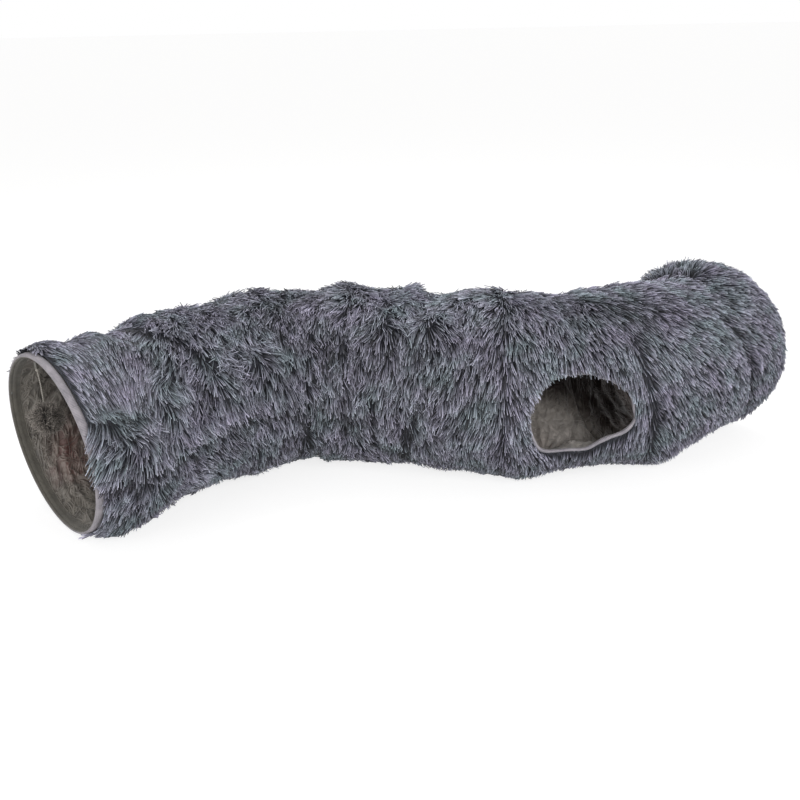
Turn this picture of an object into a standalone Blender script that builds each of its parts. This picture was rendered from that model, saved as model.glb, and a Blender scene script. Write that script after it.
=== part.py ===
"""Plush cat tunnel: an S-shaped play tunnel on spring-steel hoops that pushes together into a flat stack.

Frame: metres, +Z up. The origin is on the floor under the middle bay, where the S changes its bend. +X runs
the way the tunnel lies as a whole, towards the end past the peephole, and the peephole looks towards -Y.

The tunnel is eight hoops with seven bays of cloth between them. Each bay follows an arc over the floor, or a
straight line. When the tunnel is pushed together, a hoop travels back along its bay's arc, so it turns about
the upright line through that arc's centre, and the cloth between the hoops folds up.

Angles round the tunnel start on its left side, seen along it from the left mouth, and a quarter turn is up.
"""

from math import cos, pi, radians, sin, tan

import bmesh
import bpy
from mathutils import Matrix, Vector

# The tunnel's line over the floor, from the left mouth to the right one, with left turns positive
BAY_LENGTHS = (0.187, 0.183, 0.178, 0.172, 0.162, 0.140, 0.106)
BAY_BENDS_DEGREES = (0, -23, -39, 10, 27, 21, 12)
MIDDLE_BAY = 3
MIDDLE_HEADING_DEGREES = -14
PEEPHOLE_BAY = 4

# Hoops
HOOP_RADIUS = 0.125
WIRE_RADIUS = 0.0012
WIRE_END_GAP = 0.0010
FERRULE_LENGTH = 0.016
FERRULE_WALL = 0.0005
FERRULE_FACET = 1

# Cloth
TAPE_THICKNESS = 0.0008
LINING_THICKNESS = 0.0012
LINING_SAG = 0.003
PILE_HEIGHT = 0.0090
PILE_AT_SEAM = 0.0060
PILE_AT_MOUTH = 0.0030
PILE_UNDER_HOOP = 0.0035
CLOTH_PUFF = 0.006
BINDING_OUTSIDE = 0.008
BINDING_INSIDE = 0.011

# Peephole
PEEPHOLE_WIDTH = 0.155
PEEPHOLE_HEIGHT = 0.114
PEEPHOLE_CORNER_SHARE = 0.42
PEEPHOLE_RISE = 0.002
PEEPHOLE_HEM = 0.0012
PEEPHOLE_LIP = 0.0020

# Hanging toy
TAB_WIDTH = 0.007
TAB_LENGTH = 0.009
TAB_DEPTH = 0.003
KNOT_RADIUS = 0.0025
CORD_LENGTH = 0.043
CORD_RADIUS = 0.0009
BALL_RADIUS = 0.022

# Fits and facets
CLEARANCE = 0.0003
CUT_OVERRUN = 0.030
RING_SIDES = 24
CORNER_STEPS = 5
SLEEVE_SIDES = 8
CORD_KNOTS = 5
PLUSH_ROW_SHARES = (0.2, 0.5, 0.8)
LINING_ROW_SHARES = (0.35, 0.65)
SHARP_ANGLE = radians(35)

# Finishes: name, colour, roughness, metallic value
STEEL = ("spring_steel", (0.36, 0.37, 0.39), 0.35, 1.0)
CRIMP = ("crimped_steel", (0.55, 0.56, 0.58), 0.30, 1.0)
PLUSH = ("plush_pile", (0.165, 0.172, 0.205), 0.95, 0.0)
LINING = ("lining_cloth", (0.190, 0.175, 0.165), 0.80, 0.0)
TAPE = ("binding_tape", (0.300, 0.295, 0.315), 0.85, 0.0)
ELASTIC = ("elastic_cord", (0.330, 0.320, 0.310), 0.70, 0.0)
POMPON = ("pompon_yarn", (0.230, 0.215, 0.205), 0.95, 0.0)

# Radii across a hoop, and widths along it
CASING_ROOM = WIRE_RADIUS + CLEARANCE + FERRULE_WALL + CLEARANCE
CASING_BORE = HOOP_RADIUS - CASING_ROOM
CASING_RADIUS = HOOP_RADIUS + CASING_ROOM + TAPE_THICKNESS
CASING_HALF_WIDTH = CASING_ROOM + TAPE_THICKNESS
LINING_RADIUS = CASING_BORE - CLEARANCE
BACKING_RADIUS = CASING_RADIUS + CLEARANCE
AXIS_HEIGHT = BACKING_RADIUS + PILE_UNDER_HOOP

BAYS = len(BAY_LENGTHS)
ROOT_HOOP = MIDDLE_BAY
LAST_HOOP = BAYS
BODIES = (
    "left_mouth", "left_hoop_2", "left_hoop_3", "middle_hoop_4",
    "right_hoop_5", "right_hoop_6", "right_hoop_7", "right_mouth",
)


def curvature(bay):
    """The bay's turn per metre of tunnel, positive to the left."""
    return radians(BAY_BENDS_DEGREES[bay]) / BAY_LENGTHS[bay]


def travel(spot, length, curve):
    """The spot that lies that far along an arc. A spot is a point on the tunnel's axis and its heading there."""
    place, heading = spot
    ahead = heading + length * curve
    if curve == 0:
        return place + Vector((cos(heading), sin(heading), 0)) * length, heading
    return place + Vector((sin(ahead) - sin(heading), cos(heading) - cos(ahead), 0)) / curve, ahead


def find_hoops():
    """The spot of each hoop, walked outwards from the middle bay's middle, which is over the origin."""
    origin = (Vector((0, 0, AXIS_HEIGHT)), radians(MIDDLE_HEADING_DEGREES))
    spots = [travel(origin, -BAY_LENGTHS[MIDDLE_BAY] / 2, curvature(MIDDLE_BAY))]
    for bay in range(MIDDLE_BAY - 1, -1, -1):
        spots.insert(0, travel(spots[0], -BAY_LENGTHS[bay], curvature(bay)))
    for bay in range(MIDDLE_BAY, BAYS):
        spots.append(travel(spots[-1], BAY_LENGTHS[bay], curvature(bay)))
    return spots


HOOPS = find_hoops()


def along_bay(bay, run):
    """The spot that lies that far along a bay from its left hoop."""
    return travel(HOOPS[bay], run, curvature(bay))


def spot_axes(spot):
    """Unit vectors at a spot: along the tunnel, to its left, and up."""
    heading = spot[1]
    return Vector((cos(heading), sin(heading), 0)), Vector((-sin(heading), cos(heading), 0)), Vector((0, 0, 1))


def around(spot, angle, radius, ahead=0.0):
    """A point at that angle and radius round the tunnel's axis, moved straight ahead from the spot."""
    forward, left, up = spot_axes(spot)
    return spot[0] + forward * ahead + left * (radius * cos(angle)) + up * (radius * sin(angle))


def ring_angles():
    return [2 * pi * step / RING_SIDES for step in range(RING_SIDES)]


def travelled_bay(hoop):
    """The bay that a hoop travels along when the tunnel is pushed together towards the root hoop."""
    return hoop if hoop < ROOT_HOOP else hoop - 1


def carrier(bay):
    """The body that a bay's cloth belongs to: the hoop at its end nearer the root."""
    return BODIES[bay + 1 if bay < ROOT_HOOP else bay]


def joint_place(hoop):
    """Where a hoop's joint is: its bay's arc centre on the floor, or the hoop's own place on a straight bay."""
    bay = travelled_bay(hoop)
    if hoop == ROOT_HOOP or curvature(bay) == 0:
        return Vector((HOOPS[hoop][0].x, HOOPS[hoop][0].y, 0))
    centre = HOOPS[hoop][0] + spot_axes(HOOPS[hoop])[1] / curvature(bay)
    return Vector((centre.x, centre.y, 0))


def make_material(finish):
    name, colour, roughness, metallic = finish
    found = bpy.data.materials.get(name)
    if found:
        return found
    made = bpy.data.materials.new(name)
    made.use_nodes = True
    shader = made.node_tree.nodes["Principled BSDF"]
    shader.inputs["Base Color"].default_value = (*colour, 1.0)
    shader.inputs["Roughness"].default_value = roughness
    shader.inputs["Metallic"].default_value = metallic
    return made


def make_empty(name, place, heading, parent=None):
    """A body's empty on its joint's axis, under the empty of the body that it moves against."""
    empty = bpy.data.objects.new(name, None)
    bpy.context.scene.collection.objects.link(empty)
    empty.parent = parent
    empty.matrix_world = Matrix.Translation(place) @ Matrix.Rotation(heading, 4, "Z")
    bpy.context.view_layer.update()
    return empty


def hang_on(made, body):
    """Parents an object to its body's empty and keeps it where it is."""
    empty = bpy.data.objects[body]
    made.data.transform(empty.matrix_world.inverted())
    made.parent = empty


def make_object(name, solid, finish, body=None):
    """Turns a bmesh into a named object, shaded smooth, on its body's empty."""
    bmesh.ops.recalc_face_normals(solid, faces=solid.faces)
    mesh = bpy.data.meshes.new(name)
    solid.to_mesh(mesh)
    solid.free()
    mesh.shade_smooth()
    mesh.set_sharp_from_angle(angle=SHARP_ANGLE)
    mesh.materials.append(make_material(finish))
    made = bpy.data.objects.new(name, mesh)
    bpy.context.scene.collection.objects.link(made)
    if body:
        hang_on(made, body)
    return made


def make_wire(name, points, radius, resolution, finish, body):
    """A round wire or cord along a line of points, with filled caps."""
    curve = bpy.data.curves.new(name, "CURVE")
    curve.dimensions = "3D"
    curve.bevel_depth = radius
    curve.bevel_resolution = resolution
    curve.use_fill_caps = True
    spline = curve.splines.new("POLY")
    spline.points.add(len(points) - 1)
    for knot, point in zip(spline.points, points):
        knot.co = (*point, 1.0)
    curve.materials.append(make_material(finish))
    made = bpy.data.objects.new(name, curve)
    bpy.context.scene.collection.objects.link(made)
    hang_on(made, body)


def loft(rings):
    """A closed solid from rings of points, each joined to the next and the last to the first."""
    solid = bmesh.new()
    loops = [[solid.verts.new(point) for point in ring] for ring in rings]
    for number, loop in enumerate(loops):
        following = loops[(number + 1) % len(loops)]
        for side in range(len(loop)):
            beside = (side + 1) % len(loop)
            solid.faces.new((loop[side], loop[beside], following[beside], following[side]))
    return solid


def turned(spot, outline):
    """An outline of (ahead, radius) points turned about the tunnel's axis."""
    return loft([[around(spot, angle, radius, ahead) for angle in ring_angles()] for ahead, radius in outline])


def ferrule_facet(hoop):
    """The two ends of the ring's facet that carries the ferrule."""
    angles = ring_angles()
    return [around(HOOPS[hoop], angles[FERRULE_FACET + step], HOOP_RADIUS) for step in (0, 1)]


def hoop_wire(hoop):
    """The hoop's round spring wire. Its two ends meet, a small gap apart, inside the ferrule."""
    first, second = ferrule_facet(hoop)
    middle, run = (first + second) / 2, (second - first).normalized()
    start = 2 * pi * (FERRULE_FACET + 1) / RING_SIDES
    points = [around(HOOPS[hoop], start + 2 * pi * step / RING_SIDES, HOOP_RADIUS) for step in range(RING_SIDES)]
    ends = run * (WIRE_END_GAP / 2)
    make_wire(f"hoop_{hoop + 1}", [middle + ends] + points + [middle - ends], WIRE_RADIUS, 1, STEEL, BODIES[hoop])


def ferrule(hoop):
    """The crimped sleeve over the wire's ends."""
    first, second = ferrule_facet(hoop)
    middle, run = (first + second) / 2, (second - first).normalized()
    forward = spot_axes(HOOPS[hoop])[0]
    outward = run.cross(forward)
    bore = WIRE_RADIUS + CLEARANCE
    rings = []
    for end, radius in ((-1, bore), (1, bore), (1, bore + FERRULE_WALL), (-1, bore + FERRULE_WALL)):
        turns = [2 * pi * step / SLEEVE_SIDES for step in range(SLEEVE_SIDES)]
        centre = middle + run * (end * FERRULE_LENGTH / 2)
        rings.append([centre + (outward * cos(turn) + forward * sin(turn)) * radius for turn in turns])
    make_object(f"ferrule_{hoop + 1}", loft(rings), CRIMP, BODIES[hoop])


def hoop_casing(hoop):
    """The tape channel that holds an inner hoop against the plush, open towards the lining."""
    side, room, crown = CASING_HALF_WIDTH, CASING_ROOM, CASING_RADIUS - TAPE_THICKNESS
    outline = [
        (-side, CASING_BORE), (-side, CASING_RADIUS), (side, CASING_RADIUS), (side, CASING_BORE),
        (room, CASING_BORE), (room, crown), (-room, crown), (-room, CASING_BORE),
    ]
    make_object(f"hoop_casing_{hoop + 1}", turned(HOOPS[hoop], outline), TAPE, BODIES[hoop])


def mouth_binding(name, hoop, inward):
    """The tape folded over a mouth's hoop: a ring with a U section that opens into the tunnel."""
    edge, floor = -CASING_HALF_WIDTH, TAPE_THICKNESS - CASING_HALF_WIDTH
    outside, inside = edge + BINDING_OUTSIDE, edge + BINDING_INSIDE
    outline = [
        (edge, CASING_BORE - TAPE_THICKNESS), (edge, CASING_RADIUS), (outside, CASING_RADIUS),
        (outside, CASING_RADIUS - TAPE_THICKNESS), (floor, CASING_RADIUS - TAPE_THICKNESS),
        (floor, CASING_BORE), (inside, CASING_BORE), (inside, CASING_BORE - TAPE_THICKNESS),
    ]
    faced = [(inward * ahead, radius) for ahead, radius in outline]
    make_object(name, turned(HOOPS[hoop], faced), TAPE, BODIES[hoop])


def cloth_rows(bay, limb, shares):
    """A bay's rows of points as (distance along the bay, spot), and the two distances that are free of hoops.

    The cloth ends just short of its neighbour at a seam, and past the binding's limb at a mouth, square to it.
    """
    past_binding = limb - CASING_HALF_WIDTH + CLEARANCE
    land, length = CASING_HALF_WIDTH + CLEARANCE, BAY_LENGTHS[bay]
    low = past_binding if bay == 0 else land
    high = length - (past_binding if bay == BAYS - 1 else land)
    rows = [(run, along_bay(bay, run)) for run in (low + (high - low) * share for share in shares)]
    if bay == 0:
        rows.insert(0, (low, travel(HOOPS[0], past_binding, 0)))
    else:
        rows[:0] = [(run, along_bay(bay, run)) for run in (CLEARANCE / 2, low)]
    if bay == BAYS - 1:
        rows.append((high, travel(HOOPS[LAST_HOOP], -past_binding, 0)))
    else:
        rows += [(run, along_bay(bay, run)) for run in (high, length - CLEARANCE / 2)]
    return rows, low, high


def slack(run, low, high, angle):
    """How loose the cloth is, from 0 at the hoops and on the floor to 1 on top between two hoops."""
    share = min(1.0, max(0.0, (run - low) / (high - low)))
    return 4 * share * (1 - share) * (1 + sin(angle)) / 2


def pile_at(bay, run, low, high):
    """How deep the pile lies there: parted at a seam, combed flat towards a mouth."""
    share = (run - low) / (high - low)
    if bay == 0 and share < 1:
        return PILE_HEIGHT - (PILE_HEIGHT - PILE_AT_MOUTH) * (1 - share) ** 2
    if bay == BAYS - 1 and share > 0:
        return PILE_HEIGHT - (PILE_HEIGHT - PILE_AT_MOUTH) * share ** 2
    return PILE_AT_SEAM if share < 0 or share > 1 else PILE_HEIGHT


def plush_bay(bay):
    """A bay's plush sleeve: its pile side, pressed flat where it lies on the floor, then its backing."""
    rows, low, high = cloth_rows(bay, BINDING_OUTSIDE, PLUSH_ROW_SHARES)
    pile, backing = [], []
    for run, spot in rows:
        deep = pile_at(bay, run, low, high)
        puffed = [BACKING_RADIUS + CLOTH_PUFF * slack(run, low, high, angle) for angle in ring_angles()]
        backing.append([around(spot, angle, radius) for angle, radius in zip(ring_angles(), puffed)])
        outer = [around(spot, angle, radius + deep) for angle, radius in zip(ring_angles(), puffed)]
        pile.append([Vector((point.x, point.y, max(0.0, point.z))) for point in outer])
    return make_object(f"plush_bay_{bay + 1}", loft(pile + backing[::-1]), PLUSH, carrier(bay))


def lining_bay(bay):
    """A bay's lining: a thin sleeve that sags a little between the hoops."""
    rows, low, high = cloth_rows(bay, BINDING_INSIDE, LINING_ROW_SHARES)
    sides = []
    for radius in (LINING_RADIUS, LINING_RADIUS - LINING_THICKNESS):
        sides.append([
            [around(spot, angle, radius - LINING_SAG * slack(run, low, high, angle)) for angle in ring_angles()]
            for run, spot in rows
        ])
    return make_object(f"lining_bay_{bay + 1}", loft(sides[0] + sides[1][::-1]), LINING, carrier(bay))


def peephole_outline(grow):
    """The hole's outline, a rectangle with wide round corners, as points sideways and upwards."""
    wide, high = PEEPHOLE_WIDTH / 2 + grow, PEEPHOLE_HEIGHT / 2 + grow
    corner = PEEPHOLE_CORNER_SHARE * min(PEEPHOLE_WIDTH, PEEPHOLE_HEIGHT) + grow
    points = []
    for quarter, (side, level) in enumerate(((1, 1), (-1, 1), (-1, -1), (1, -1))):
        for step in range(CORNER_STEPS + 1):
            turn = pi / 2 * (quarter + step / CORNER_STEPS)
            points.append((side * (wide - corner) + corner * cos(turn), level * (high - corner) + corner * sin(turn)))
    return points


def peephole_prism(name, grow, near, far):
    """A straight block with the hole's outline, between two distances out from the tunnel's axis."""
    spot = along_bay(PEEPHOLE_BAY, BAY_LENGTHS[PEEPHOLE_BAY] / 2)
    forward, left, up = spot_axes(spot)
    solid = bmesh.new()
    ends = []
    for depth in (near, far):
        centre = spot[0] - left * depth + up * PEEPHOLE_RISE
        ends.append([solid.verts.new(centre + forward * x + up * y) for x, y in peephole_outline(grow)])
    solid.faces.new(ends[0])
    solid.faces.new(ends[1])
    for number in range(len(ends[0])):
        beside = (number + 1) % len(ends[0])
        solid.faces.new((ends[0][number], ends[0][beside], ends[1][beside], ends[1][number]))
    made = make_object(name, solid, TAPE)
    made.hide_render = True
    made.display_type = "WIRE"
    return made


def combine(made, other, operation):
    cut = made.modifiers.new(other.name, "BOOLEAN")
    cut.operation = operation
    cut.object = other
    cut.solver = "EXACT"


def peephole_hem():
    """The hem round the peephole: a narrow band through plush and lining that follows the wall's curve."""
    rows, low, high = cloth_rows(PEEPHOLE_BAY, BINDING_OUTSIDE, PLUSH_ROW_SHARES)
    outer, inner = [], []
    for run, spot in rows:
        looseness = [slack(run, low, high, angle) for angle in ring_angles()]
        lip = [BACKING_RADIUS + PEEPHOLE_LIP + CLOTH_PUFF * loose for loose in looseness]
        bore = [LINING_RADIUS - LINING_THICKNESS - LINING_SAG * loose for loose in looseness]
        outer.append([around(spot, angle, radius) for angle, radius in zip(ring_angles(), lip)])
        inner.append([around(spot, angle, radius) for angle, radius in zip(ring_angles(), bore)])
    made = make_object("peephole_hem", loft(outer + inner[::-1]), TAPE, carrier(PEEPHOLE_BAY))
    reach = BACKING_RADIUS + PILE_HEIGHT + CLOTH_PUFF + CUT_OVERRUN
    combine(made, peephole_prism("hem_blank", 0.0, 0.0, reach), "INTERSECT")
    combine(made, peephole_prism("hem_opening", -PEEPHOLE_HEM, -CUT_OVERRUN, reach + CUT_OVERRUN), "DIFFERENCE")


def cut_peephole(cloth):
    reach = BACKING_RADIUS + PILE_HEIGHT + CLOTH_PUFF + CUT_OVERRUN
    combine(cloth, peephole_prism(f"cut_{cloth.name}", CLEARANCE, 0.0, reach), "DIFFERENCE")


def toy_pivot():
    """The middle of the toy's knot, under the tab at the top of the left mouth."""
    top = around(HOOPS[0], pi / 2, CASING_BORE - TAPE_THICKNESS)
    shoulder = TAB_WIDTH / 2 * tan(pi / RING_SIDES)
    return top - Vector((0, 0, shoulder + CLEARANCE + TAB_LENGTH + CLEARANCE + KNOT_RADIUS))


def ball(place, radius, subdivisions):
    solid = bmesh.new()
    bmesh.ops.create_icosphere(solid, subdivisions=subdivisions, radius=radius)
    bmesh.ops.translate(solid, verts=solid.verts, vec=place)
    return solid


def hanging_toy():
    """The pompon in the left mouth: a sewn tab, the cord's knot under it, the cord and the ball."""
    pivot = toy_pivot()
    forward, left, up = spot_axes(HOOPS[0])
    middle = pivot + up * (KNOT_RADIUS + CLEARANCE + TAB_LENGTH / 2)
    tab = bmesh.new()
    bmesh.ops.create_cube(tab, size=1.0)
    for vert in tab.verts:
        share = vert.co.copy()
        across = forward * (share.x * TAB_DEPTH) + left * (share.y * TAB_WIDTH)
        vert.co = middle + across + up * (share.z * TAB_LENGTH)
    make_object("toy_tab", tab, TAPE, BODIES[0])
    make_object("toy_knot", ball(pivot, KNOT_RADIUS, 2), ELASTIC, "toy_knot_pivot")
    top = pivot - up * (KNOT_RADIUS + CLEARANCE)
    points = [top - up * (CORD_LENGTH * number / (CORD_KNOTS - 1)) for number in range(CORD_KNOTS)]
    make_wire("toy_cord", points, CORD_RADIUS, 2, ELASTIC, "toy_swing_pivot")
    ball_place = top - up * (CORD_LENGTH + CLEARANCE + BALL_RADIUS)
    make_object("toy_ball", ball(ball_place, BALL_RADIUS, 3), POMPON, "toy_swing_pivot")


def make_bodies():
    """One empty for each body on its joint's axis, each under the body that it moves against."""
    made = {ROOT_HOOP: make_empty(BODIES[ROOT_HOOP], joint_place(ROOT_HOOP), HOOPS[ROOT_HOOP][1])}
    for hoop in list(range(ROOT_HOOP - 1, -1, -1)) + list(range(ROOT_HOOP + 1, LAST_HOOP + 1)):
        parent = made[hoop + 1 if hoop < ROOT_HOOP else hoop - 1]
        made[hoop] = make_empty(BODIES[hoop], joint_place(hoop), HOOPS[hoop][1], parent)
    knot = make_empty("toy_knot_pivot", toy_pivot(), HOOPS[0][1], made[0])
    make_empty("toy_swing_pivot", toy_pivot(), HOOPS[0][1], knot)


def build():
    for old in list(bpy.data.objects):
        bpy.data.objects.remove(old)
    make_bodies()
    for hoop in range(LAST_HOOP + 1):
        hoop_wire(hoop)
        ferrule(hoop)
        if 0 < hoop < LAST_HOOP:
            hoop_casing(hoop)
    mouth_binding("mouth_binding_left", 0, 1)
    mouth_binding("mouth_binding_right", LAST_HOOP, -1)
    for bay in range(BAYS):
        plush, lining = plush_bay(bay), lining_bay(bay)
        if bay == PEEPHOLE_BAY:
            cut_peephole(plush)
            cut_peephole(lining)
    peephole_hem()
    hanging_toy()


build()
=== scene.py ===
"""Plush cat tunnel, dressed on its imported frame: long pile, creased lining, bound mouths, peephole hem and pompon.

Metres, +Z up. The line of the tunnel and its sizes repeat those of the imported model. Angles round the tunnel
start on its left side, seen along it from the left mouth, and a quarter turn is up, so half a turn faces the camera.
"""

from math import atan, cos, pi, radians, sin, tau

import bpy
import numpy as np
from mathutils import Matrix, Vector, noise


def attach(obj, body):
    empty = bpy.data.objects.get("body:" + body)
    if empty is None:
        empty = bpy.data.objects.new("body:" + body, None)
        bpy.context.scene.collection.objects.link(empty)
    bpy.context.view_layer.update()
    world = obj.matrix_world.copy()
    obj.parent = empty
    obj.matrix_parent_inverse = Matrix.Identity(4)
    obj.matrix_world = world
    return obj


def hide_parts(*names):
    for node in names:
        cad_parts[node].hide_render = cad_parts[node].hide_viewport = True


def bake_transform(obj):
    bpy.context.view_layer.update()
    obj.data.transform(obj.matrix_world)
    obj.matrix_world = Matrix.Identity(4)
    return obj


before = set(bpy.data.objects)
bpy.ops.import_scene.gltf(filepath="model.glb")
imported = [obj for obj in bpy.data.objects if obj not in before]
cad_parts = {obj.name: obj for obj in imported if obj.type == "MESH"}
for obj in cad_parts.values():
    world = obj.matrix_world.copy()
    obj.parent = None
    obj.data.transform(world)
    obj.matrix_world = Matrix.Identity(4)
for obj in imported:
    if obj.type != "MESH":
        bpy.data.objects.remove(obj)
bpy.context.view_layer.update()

# The tunnel's line over the floor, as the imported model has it
BAY_LENGTHS = (0.187, 0.183, 0.178, 0.172, 0.162, 0.140, 0.106)
BAY_BENDS_DEGREES = (0, -23, -39, 10, 27, 21, 12)
MIDDLE_BAY = 3
MIDDLE_HEADING_DEGREES = -14
PEEPHOLE_BAY = 4
HOOP_RADIUS = 0.125
AXIS_HEIGHT = 0.1319
BODIES = (
    "left_mouth", "left_hoop_2", "left_hoop_3", "middle_hoop_4",
    "right_hoop_5", "right_hoop_6", "right_hoop_7", "right_mouth",
)

# Cloth, from the hoop casing outwards and inwards
BACKING_RADIUS = 0.1284
BACKING_THICKNESS = 0.0010
CLOTH_PUFF = 0.006
LINING_RADIUS = 0.1224
LINING_THICKNESS = 0.0006
LINING_SAG = 0.003
SEAM_GAP = 0.00015
PAST_BINDING_OUTSIDE = 0.0070
PAST_BINDING_INSIDE = 0.0082
DEEPEST_SAG = 0.007
ON_FLOOR = 0.0006

# Peephole: its edge in millimetres ahead of its middle and above it, stretched and pulled in at both lower corners
PEEPHOLE_RISE = 0.002
PEEPHOLE_EDGE = (
    (78, -15), (75, 1), (71, 18), (60, 34), (38, 48), (14, 57), (-11, 59), (-41, 55), (-61, 40), (-73, 17), (-74, -2), (-70, -26),
    (-59, -50), (-45, -59), (-14, -59), (6, -60), (17, -57), (30, -47), (44, -40), (66, -32),
)

# Hanging toy
TOY_PIVOT = Vector((-0.54876, -0.199616, 0.241239))
KNOT_RADIUS = 0.0025
CORD_LENGTH = 0.043
CORD_DIAMETER = 0.0018
CLEARANCE = 0.0003
BALL_RADIUS = 0.022

BAYS = len(BAY_LENGTHS)
STARTS = np.concatenate([[0.0], np.cumsum(BAY_LENGTHS)])


def curvature(bay):
    return radians(BAY_BENDS_DEGREES[bay]) / BAY_LENGTHS[bay]


def travel(place, heading, length, curve):
    """The point and heading that lie that far along an arc. Length may be an array."""
    ahead = heading + length * curve
    if curve == 0:
        return place[0] + length * np.cos(heading), place[1] + length * np.sin(heading), ahead
    across = (np.sin(ahead) - np.sin(heading)) / curve
    return place[0] + across, place[1] + (np.cos(heading) - np.cos(ahead)) / curve, ahead


def find_hoops():
    """Each hoop's centre over the floor and its heading, walked outwards from the middle bay's middle."""
    spots = [travel((0, 0), radians(MIDDLE_HEADING_DEGREES), -BAY_LENGTHS[MIDDLE_BAY] / 2, curvature(MIDDLE_BAY))]
    for bay in range(MIDDLE_BAY - 1, -1, -1):
        spots.insert(0, travel(spots[0][:2], spots[0][2], -BAY_LENGTHS[bay], curvature(bay)))
    for bay in range(MIDDLE_BAY, BAYS):
        spots.append(travel(spots[-1][:2], spots[-1][2], BAY_LENGTHS[bay], curvature(bay)))
    return spots


HOOPS = find_hoops()


def hoop_axes(hoop):
    """A hoop's centre, and unit vectors along the tunnel, to its left and up."""
    x, y, heading = HOOPS[hoop]
    forward = Vector((cos(heading), sin(heading), 0))
    return Vector((x, y, AXIS_HEIGHT)), forward, Vector((-forward.y, forward.x, 0)), Vector((0, 0, 1))


def tunnel_points(bay, run, angle, radius):
    """Points at these distances along a bay, angles round it and radii, with the directions along it and round it."""
    run, angle, radius = np.broadcast_arrays(np.asarray(run, float), angle, radius)
    x, y, heading = travel(HOOPS[bay][:2], HOOPS[bay][2], run, curvature(bay))
    side, high = radius * np.cos(angle), radius * np.sin(angle)
    left = np.stack([-np.sin(heading), np.cos(heading), 0 * heading], -1)
    forward = np.stack([np.cos(heading), np.sin(heading), 0 * heading], -1)
    points = np.stack([x, y, AXIS_HEIGHT + high], -1) + left * side[..., None]
    rounds = -left * np.sin(angle)[..., None] + np.array([0, 0, 1]) * np.cos(angle)[..., None]
    return points, forward, rounds


def unroll(bay, points):
    """The distance along a bay, angle and radius of each point."""
    place, heading, curve = np.array(HOOPS[bay][:2]), HOOPS[bay][2], curvature(bay)
    forward, left = np.array([np.cos(heading), np.sin(heading)]), np.array([-np.sin(heading), np.cos(heading)])
    away = points[:, :2] - place
    if curve == 0:
        run, side = away @ forward, away @ left
    else:
        spoke = (away - left / curve) * np.sign(curve)
        turned = np.arctan2(spoke[:, 0], -spoke[:, 1]) - heading
        run = ((turned + pi) % tau - pi) / curve
        side = 1 / curve - np.sign(curve) * np.hypot(spoke[:, 0], spoke[:, 1])
    high = points[:, 2] - AXIS_HEIGHT
    return run, np.arctan2(high, side) % tau, np.hypot(side, high)


def slack(bay, run, angle):
    """How loose the cloth is, from 0 at the hoops and on the floor to 1 on top between two hoops."""
    share = np.clip(run / BAY_LENGTHS[bay], 0, 1)
    return 4 * share * (1 - share) * (1 + np.sin(angle)) / 2


def smooth_step(value, low, high):
    share = np.clip((value - low) / (high - low), 0, 1)
    return share * share * (3 - 2 * share)


def ripple(bay, run, angle, grain, along=1.0, around=1.0, seed=0.0):
    """Smooth noise from -1 to 1 over the tunnel's cloth, with grains of that size, drawn out along or round the tunnel."""
    run, angle = np.broadcast_arrays(run, angle)
    along = (STARTS[bay] + run) / (grain * along)
    reach = 0.128 / (grain * around)
    flat = zip(along.ravel(), angle.ravel())
    made = [noise.noise(Vector((a + seed, reach * cos(t), reach * sin(t) + seed * 1.7))) for a, t in flat]
    return np.array(made).reshape(along.shape)


# Colours and shader nodes

def linear(hex_colour):
    """An sRGB hex colour as the linear values that a shader takes."""
    parts = [int(hex_colour[start:start + 2], 16) / 255 for start in (1, 3, 5)]
    return tuple(p / 12.92 if p <= 0.04045 else ((p + 0.055) / 1.055) ** 2.4 for p in parts) + (1.0,)


def add(tree, kind, inputs=(), **settings):
    """Adds a node. Inputs maps a socket's name or number to a value or to a socket to link."""
    made = tree.nodes.new(kind)
    for name, value in settings.items():
        setattr(made, name, value)
    for key, value in dict(inputs).items():
        if isinstance(value, bpy.types.NodeSocket):
            tree.links.new(value, made.inputs[key])
        else:
            made.inputs[key].default_value = value
    return made


def ramp(tree, factor, stops):
    """A colour ramp through (place, hex colour) stops."""
    made = add(tree, "ShaderNodeValToRGB", {"Fac": factor})
    while len(made.color_ramp.elements) < len(stops):
        made.color_ramp.elements.new(0.5)
    for element, (place, colour) in zip(made.color_ramp.elements, stops):
        element.position, element.color = place, linear(colour)
    return made.outputs["Color"]


def new_material(name, roughness, metallic=0.0, sheen=0.0):
    made = bpy.data.materials.new(name)
    made.use_nodes = True
    shader = made.node_tree.nodes["Principled BSDF"]
    shader.inputs["Roughness"].default_value = roughness
    shader.inputs["Metallic"].default_value = metallic
    if sheen:
        shader.inputs["Sheen Weight"].default_value = sheen
        shader.inputs["Sheen Roughness"].default_value = 0.5
    return made, made.node_tree, shader


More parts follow.
